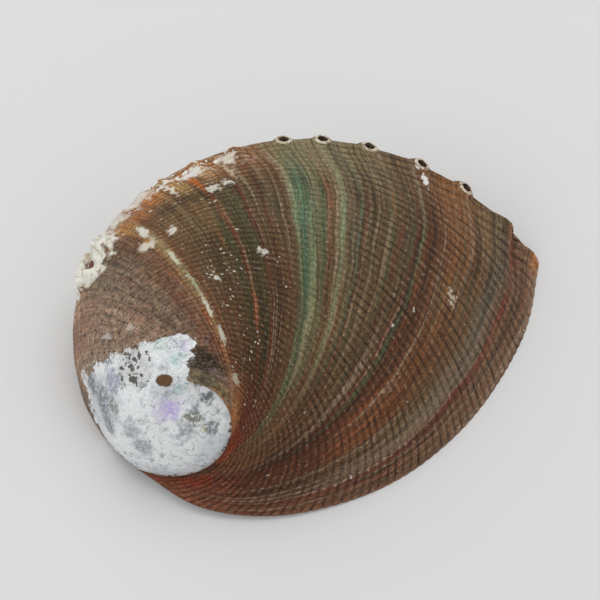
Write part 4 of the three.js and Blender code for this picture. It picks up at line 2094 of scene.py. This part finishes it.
    def _collars(self) -> bmesh.types.BMesh:
        """Turns the raised rim of each pore.

        Returns:
            The rims as closed rings of lime, in millimetres.
        """
        mesh = bmesh.new()
        growth = mesh.loops.layers.uv.new(GROWTH_MAP)
        along, aside = self.collar_map
        for pore in PORES:
            points = [mesh.verts.new((pore.size * r, 0, pore.size * z)) for r, z in self.collar]
            edges = [mesh.edges.new(pair) for pair in zip(points, points[1:])]
            bmesh.ops.spin(
                mesh,
                geom=points + edges,
                axis=(0, 0, 1),
                cent=(0, 0, 0),
                angle=2 * math.pi,
                steps=self.pore_sides,
                use_merge=True,
            )
            fresh = [v for v in mesh.verts if not v.tag]
            bmesh.ops.remove_doubles(mesh, verts=fresh, dist=1e-4)
            fresh = [v for v in mesh.verts if not v.tag]
            for face in {face for vert in fresh for face in vert.link_faces}:
                bare = face.calc_center_median().z > self.collar_bare_from * pore.size
                face.material_index = Part.PORE if bare else Part.OUTSIDE
                for loop in face.loops:
                    x, y, _ = loop.vert.co
                    loop[growth].uv = (pore.back + along * x, self.collar_across + aside * y)
            bmesh.ops.transform(mesh, matrix=self._frame_of(pore), verts=fresh)
            for vert in fresh:
                vert.tag = True
        bmesh.ops.recalc_face_normals(mesh, faces=mesh.faces)
        return mesh

    def _drills(self) -> bmesh.types.BMesh:
        """Makes the rods that open the pores.

        Returns:
            The rods, in millimetres.
        """
        mesh = bmesh.new()
        mesh.loops.layers.uv.new(GROWTH_MAP)
        for pore in PORES:
            bmesh.ops.create_cone(
                mesh,
                cap_ends=True,
                segments=self.pore_sides,
                radius1=self.pore_radius * pore.size * self.pore_taper[0],
                radius2=self.pore_radius * pore.size * self.pore_taper[1],
                depth=self.pore_reach,
                matrix=self._frame_of(pore),
            )
        for face in mesh.faces:
            face.material_index = Part.PORE
        return mesh

    def _object(self, name: str, mesh: bmesh.types.BMesh) -> bpy.types.Object:
        """Puts a mesh in the scene in metres, with the shell's material slots.

        Args:
            name: The object's name.
            mesh: The mesh in millimetres; it is freed.

        Returns:
            The object at the origin.
        """
        bmesh.ops.scale(mesh, vec=(MM, MM, MM), verts=mesh.verts)
        data = bpy.data.meshes.new(name)
        mesh.to_mesh(data)
        mesh.free()
        for finish in self.finishes:
            data.materials.append(finish)
        made = bpy.data.objects.new(name, data)
        bpy.context.scene.collection.objects.link(made)
        return made

    def _pierce(self, shell: bpy.types.Object) -> None:
        """Joins the pore rims to the shell and opens the pores through both.

        Args:
            shell: The shell's object; its mesh is replaced.
        """
        for name, mesh, operation in (
            ("rims", self._collars(), "UNION"),
            ("rods", self._drills(), "DIFFERENCE"),
        ):
            tool = self._object(name, mesh)
            cut = shell.modifiers.new(name, "BOOLEAN")
            cut.object = tool
            cut.operation = operation
            cut.solver = "EXACT"
        graph = bpy.context.evaluated_depsgraph_get()
        done = bpy.data.meshes.new_from_object(shell.evaluated_get(graph))
        tools = [cut.object for cut in shell.modifiers]
        shell.modifiers.clear()
        old = shell.data
        shell.data = done
        bpy.data.meshes.remove(old)
        for tool in tools:
            spent = tool.data
            bpy.data.objects.remove(tool)
            bpy.data.meshes.remove(spent)
        done.name = shell.name

    def _finish_mesh(self, shell: bpy.types.Object) -> None:
        """Gives the shell its smooth shading.

        Args:
            shell: The shell's object.
        """
        data = shell.data
        data.polygons.foreach_set("use_smooth", [True] * len(data.polygons))
        data.set_sharp_from_angle(angle=self.sharp_from)
        log.info("shell: %d faces, %d vertices", len(data.polygons), len(data.vertices))


@dataclass(frozen=True)
class Studio:
    """A pale table top, soft light and the camera at the photograph's angle, in metres."""

    distance: float = 0.700
    elevation: float = math.radians(55)
    lens: float = 131.6
    sensor: float = 36.0
    target: Point = (-0.00364794, 0.01935184, 0.0)
    floor_size: float = 6.0
    floor_colour: str = "#dfdfdf"
    sky_colour: str = "#ffffff"
    sky_strength: float = 0.70

    def build(self) -> None:
        """Sets up the floor, the sky, the lamps and the camera."""
        self._floor()
        world = bpy.data.worlds.new("studio")
        world.use_nodes = True
        sky = world.node_tree.nodes["Background"]
        sky.inputs["Color"].default_value = linear(self.sky_colour)
        sky.inputs["Strength"].default_value = self.sky_strength
        bpy.context.scene.world = world
        for light in Light:
            self._lamp(light)
        self._camera()
        bpy.context.scene.view_settings.view_transform = "Standard"

    def _floor(self) -> None:
        """Lays the table top."""
        board = Board("matt_pale_table")
        table = board.finish(Base_Color=linear(self.floor_colour), Roughness=0.9)
        mesh = bmesh.new()
        bmesh.ops.create_grid(mesh, x_segments=1, y_segments=1, size=self.floor_size / 2)
        data = bpy.data.meshes.new("table_top")
        mesh.to_mesh(data)
        mesh.free()
        data.materials.append(table)
        floor = bpy.data.objects.new("table_top", data)
        bpy.context.scene.collection.objects.link(floor)

    def _lamp(self, light: Light) -> None:
        """Hangs one soft lamp.

        Args:
            light: Which lamp.
        """
        place, aim, size, power = light.value
        data = bpy.data.lights.new(light.name.lower(), "AREA")
        data.shape = "DISK"
        data.size = size
        data.energy = power
        lamp = bpy.data.objects.new(data.name, data)
        lamp.location = place
        lamp.rotation_euler = (Vector(aim) - Vector(place)).to_track_quat("-Z", "Y").to_euler()
        bpy.context.scene.collection.objects.link(lamp)

    def _camera(self) -> None:
        """Stands the camera in front of the shell, looking down at it."""
        data = bpy.data.cameras.new("camera")
        data.lens = self.lens
        data.sensor_width = self.sensor
        camera = bpy.data.objects.new("camera", data)
        back = Vector((0, -math.cos(self.elevation), math.sin(self.elevation)))
        camera.location = Vector(self.target) + back * self.distance
        camera.rotation_euler = (-back).to_track_quat("-Z", "Y").to_euler()
        bpy.context.scene.collection.objects.link(camera)
        bpy.context.scene.camera = camera


def main() -> None:
    """Loads the frame and builds the shell and its studio."""
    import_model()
    shell = AbaloneShell().build()
    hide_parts(NODE)
    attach(shell, BODY)
    log.info("%s replaces %s and rides %s", shell.name, NODE, BODY)
    Studio().build()


if __name__ == "__main__":
    main()
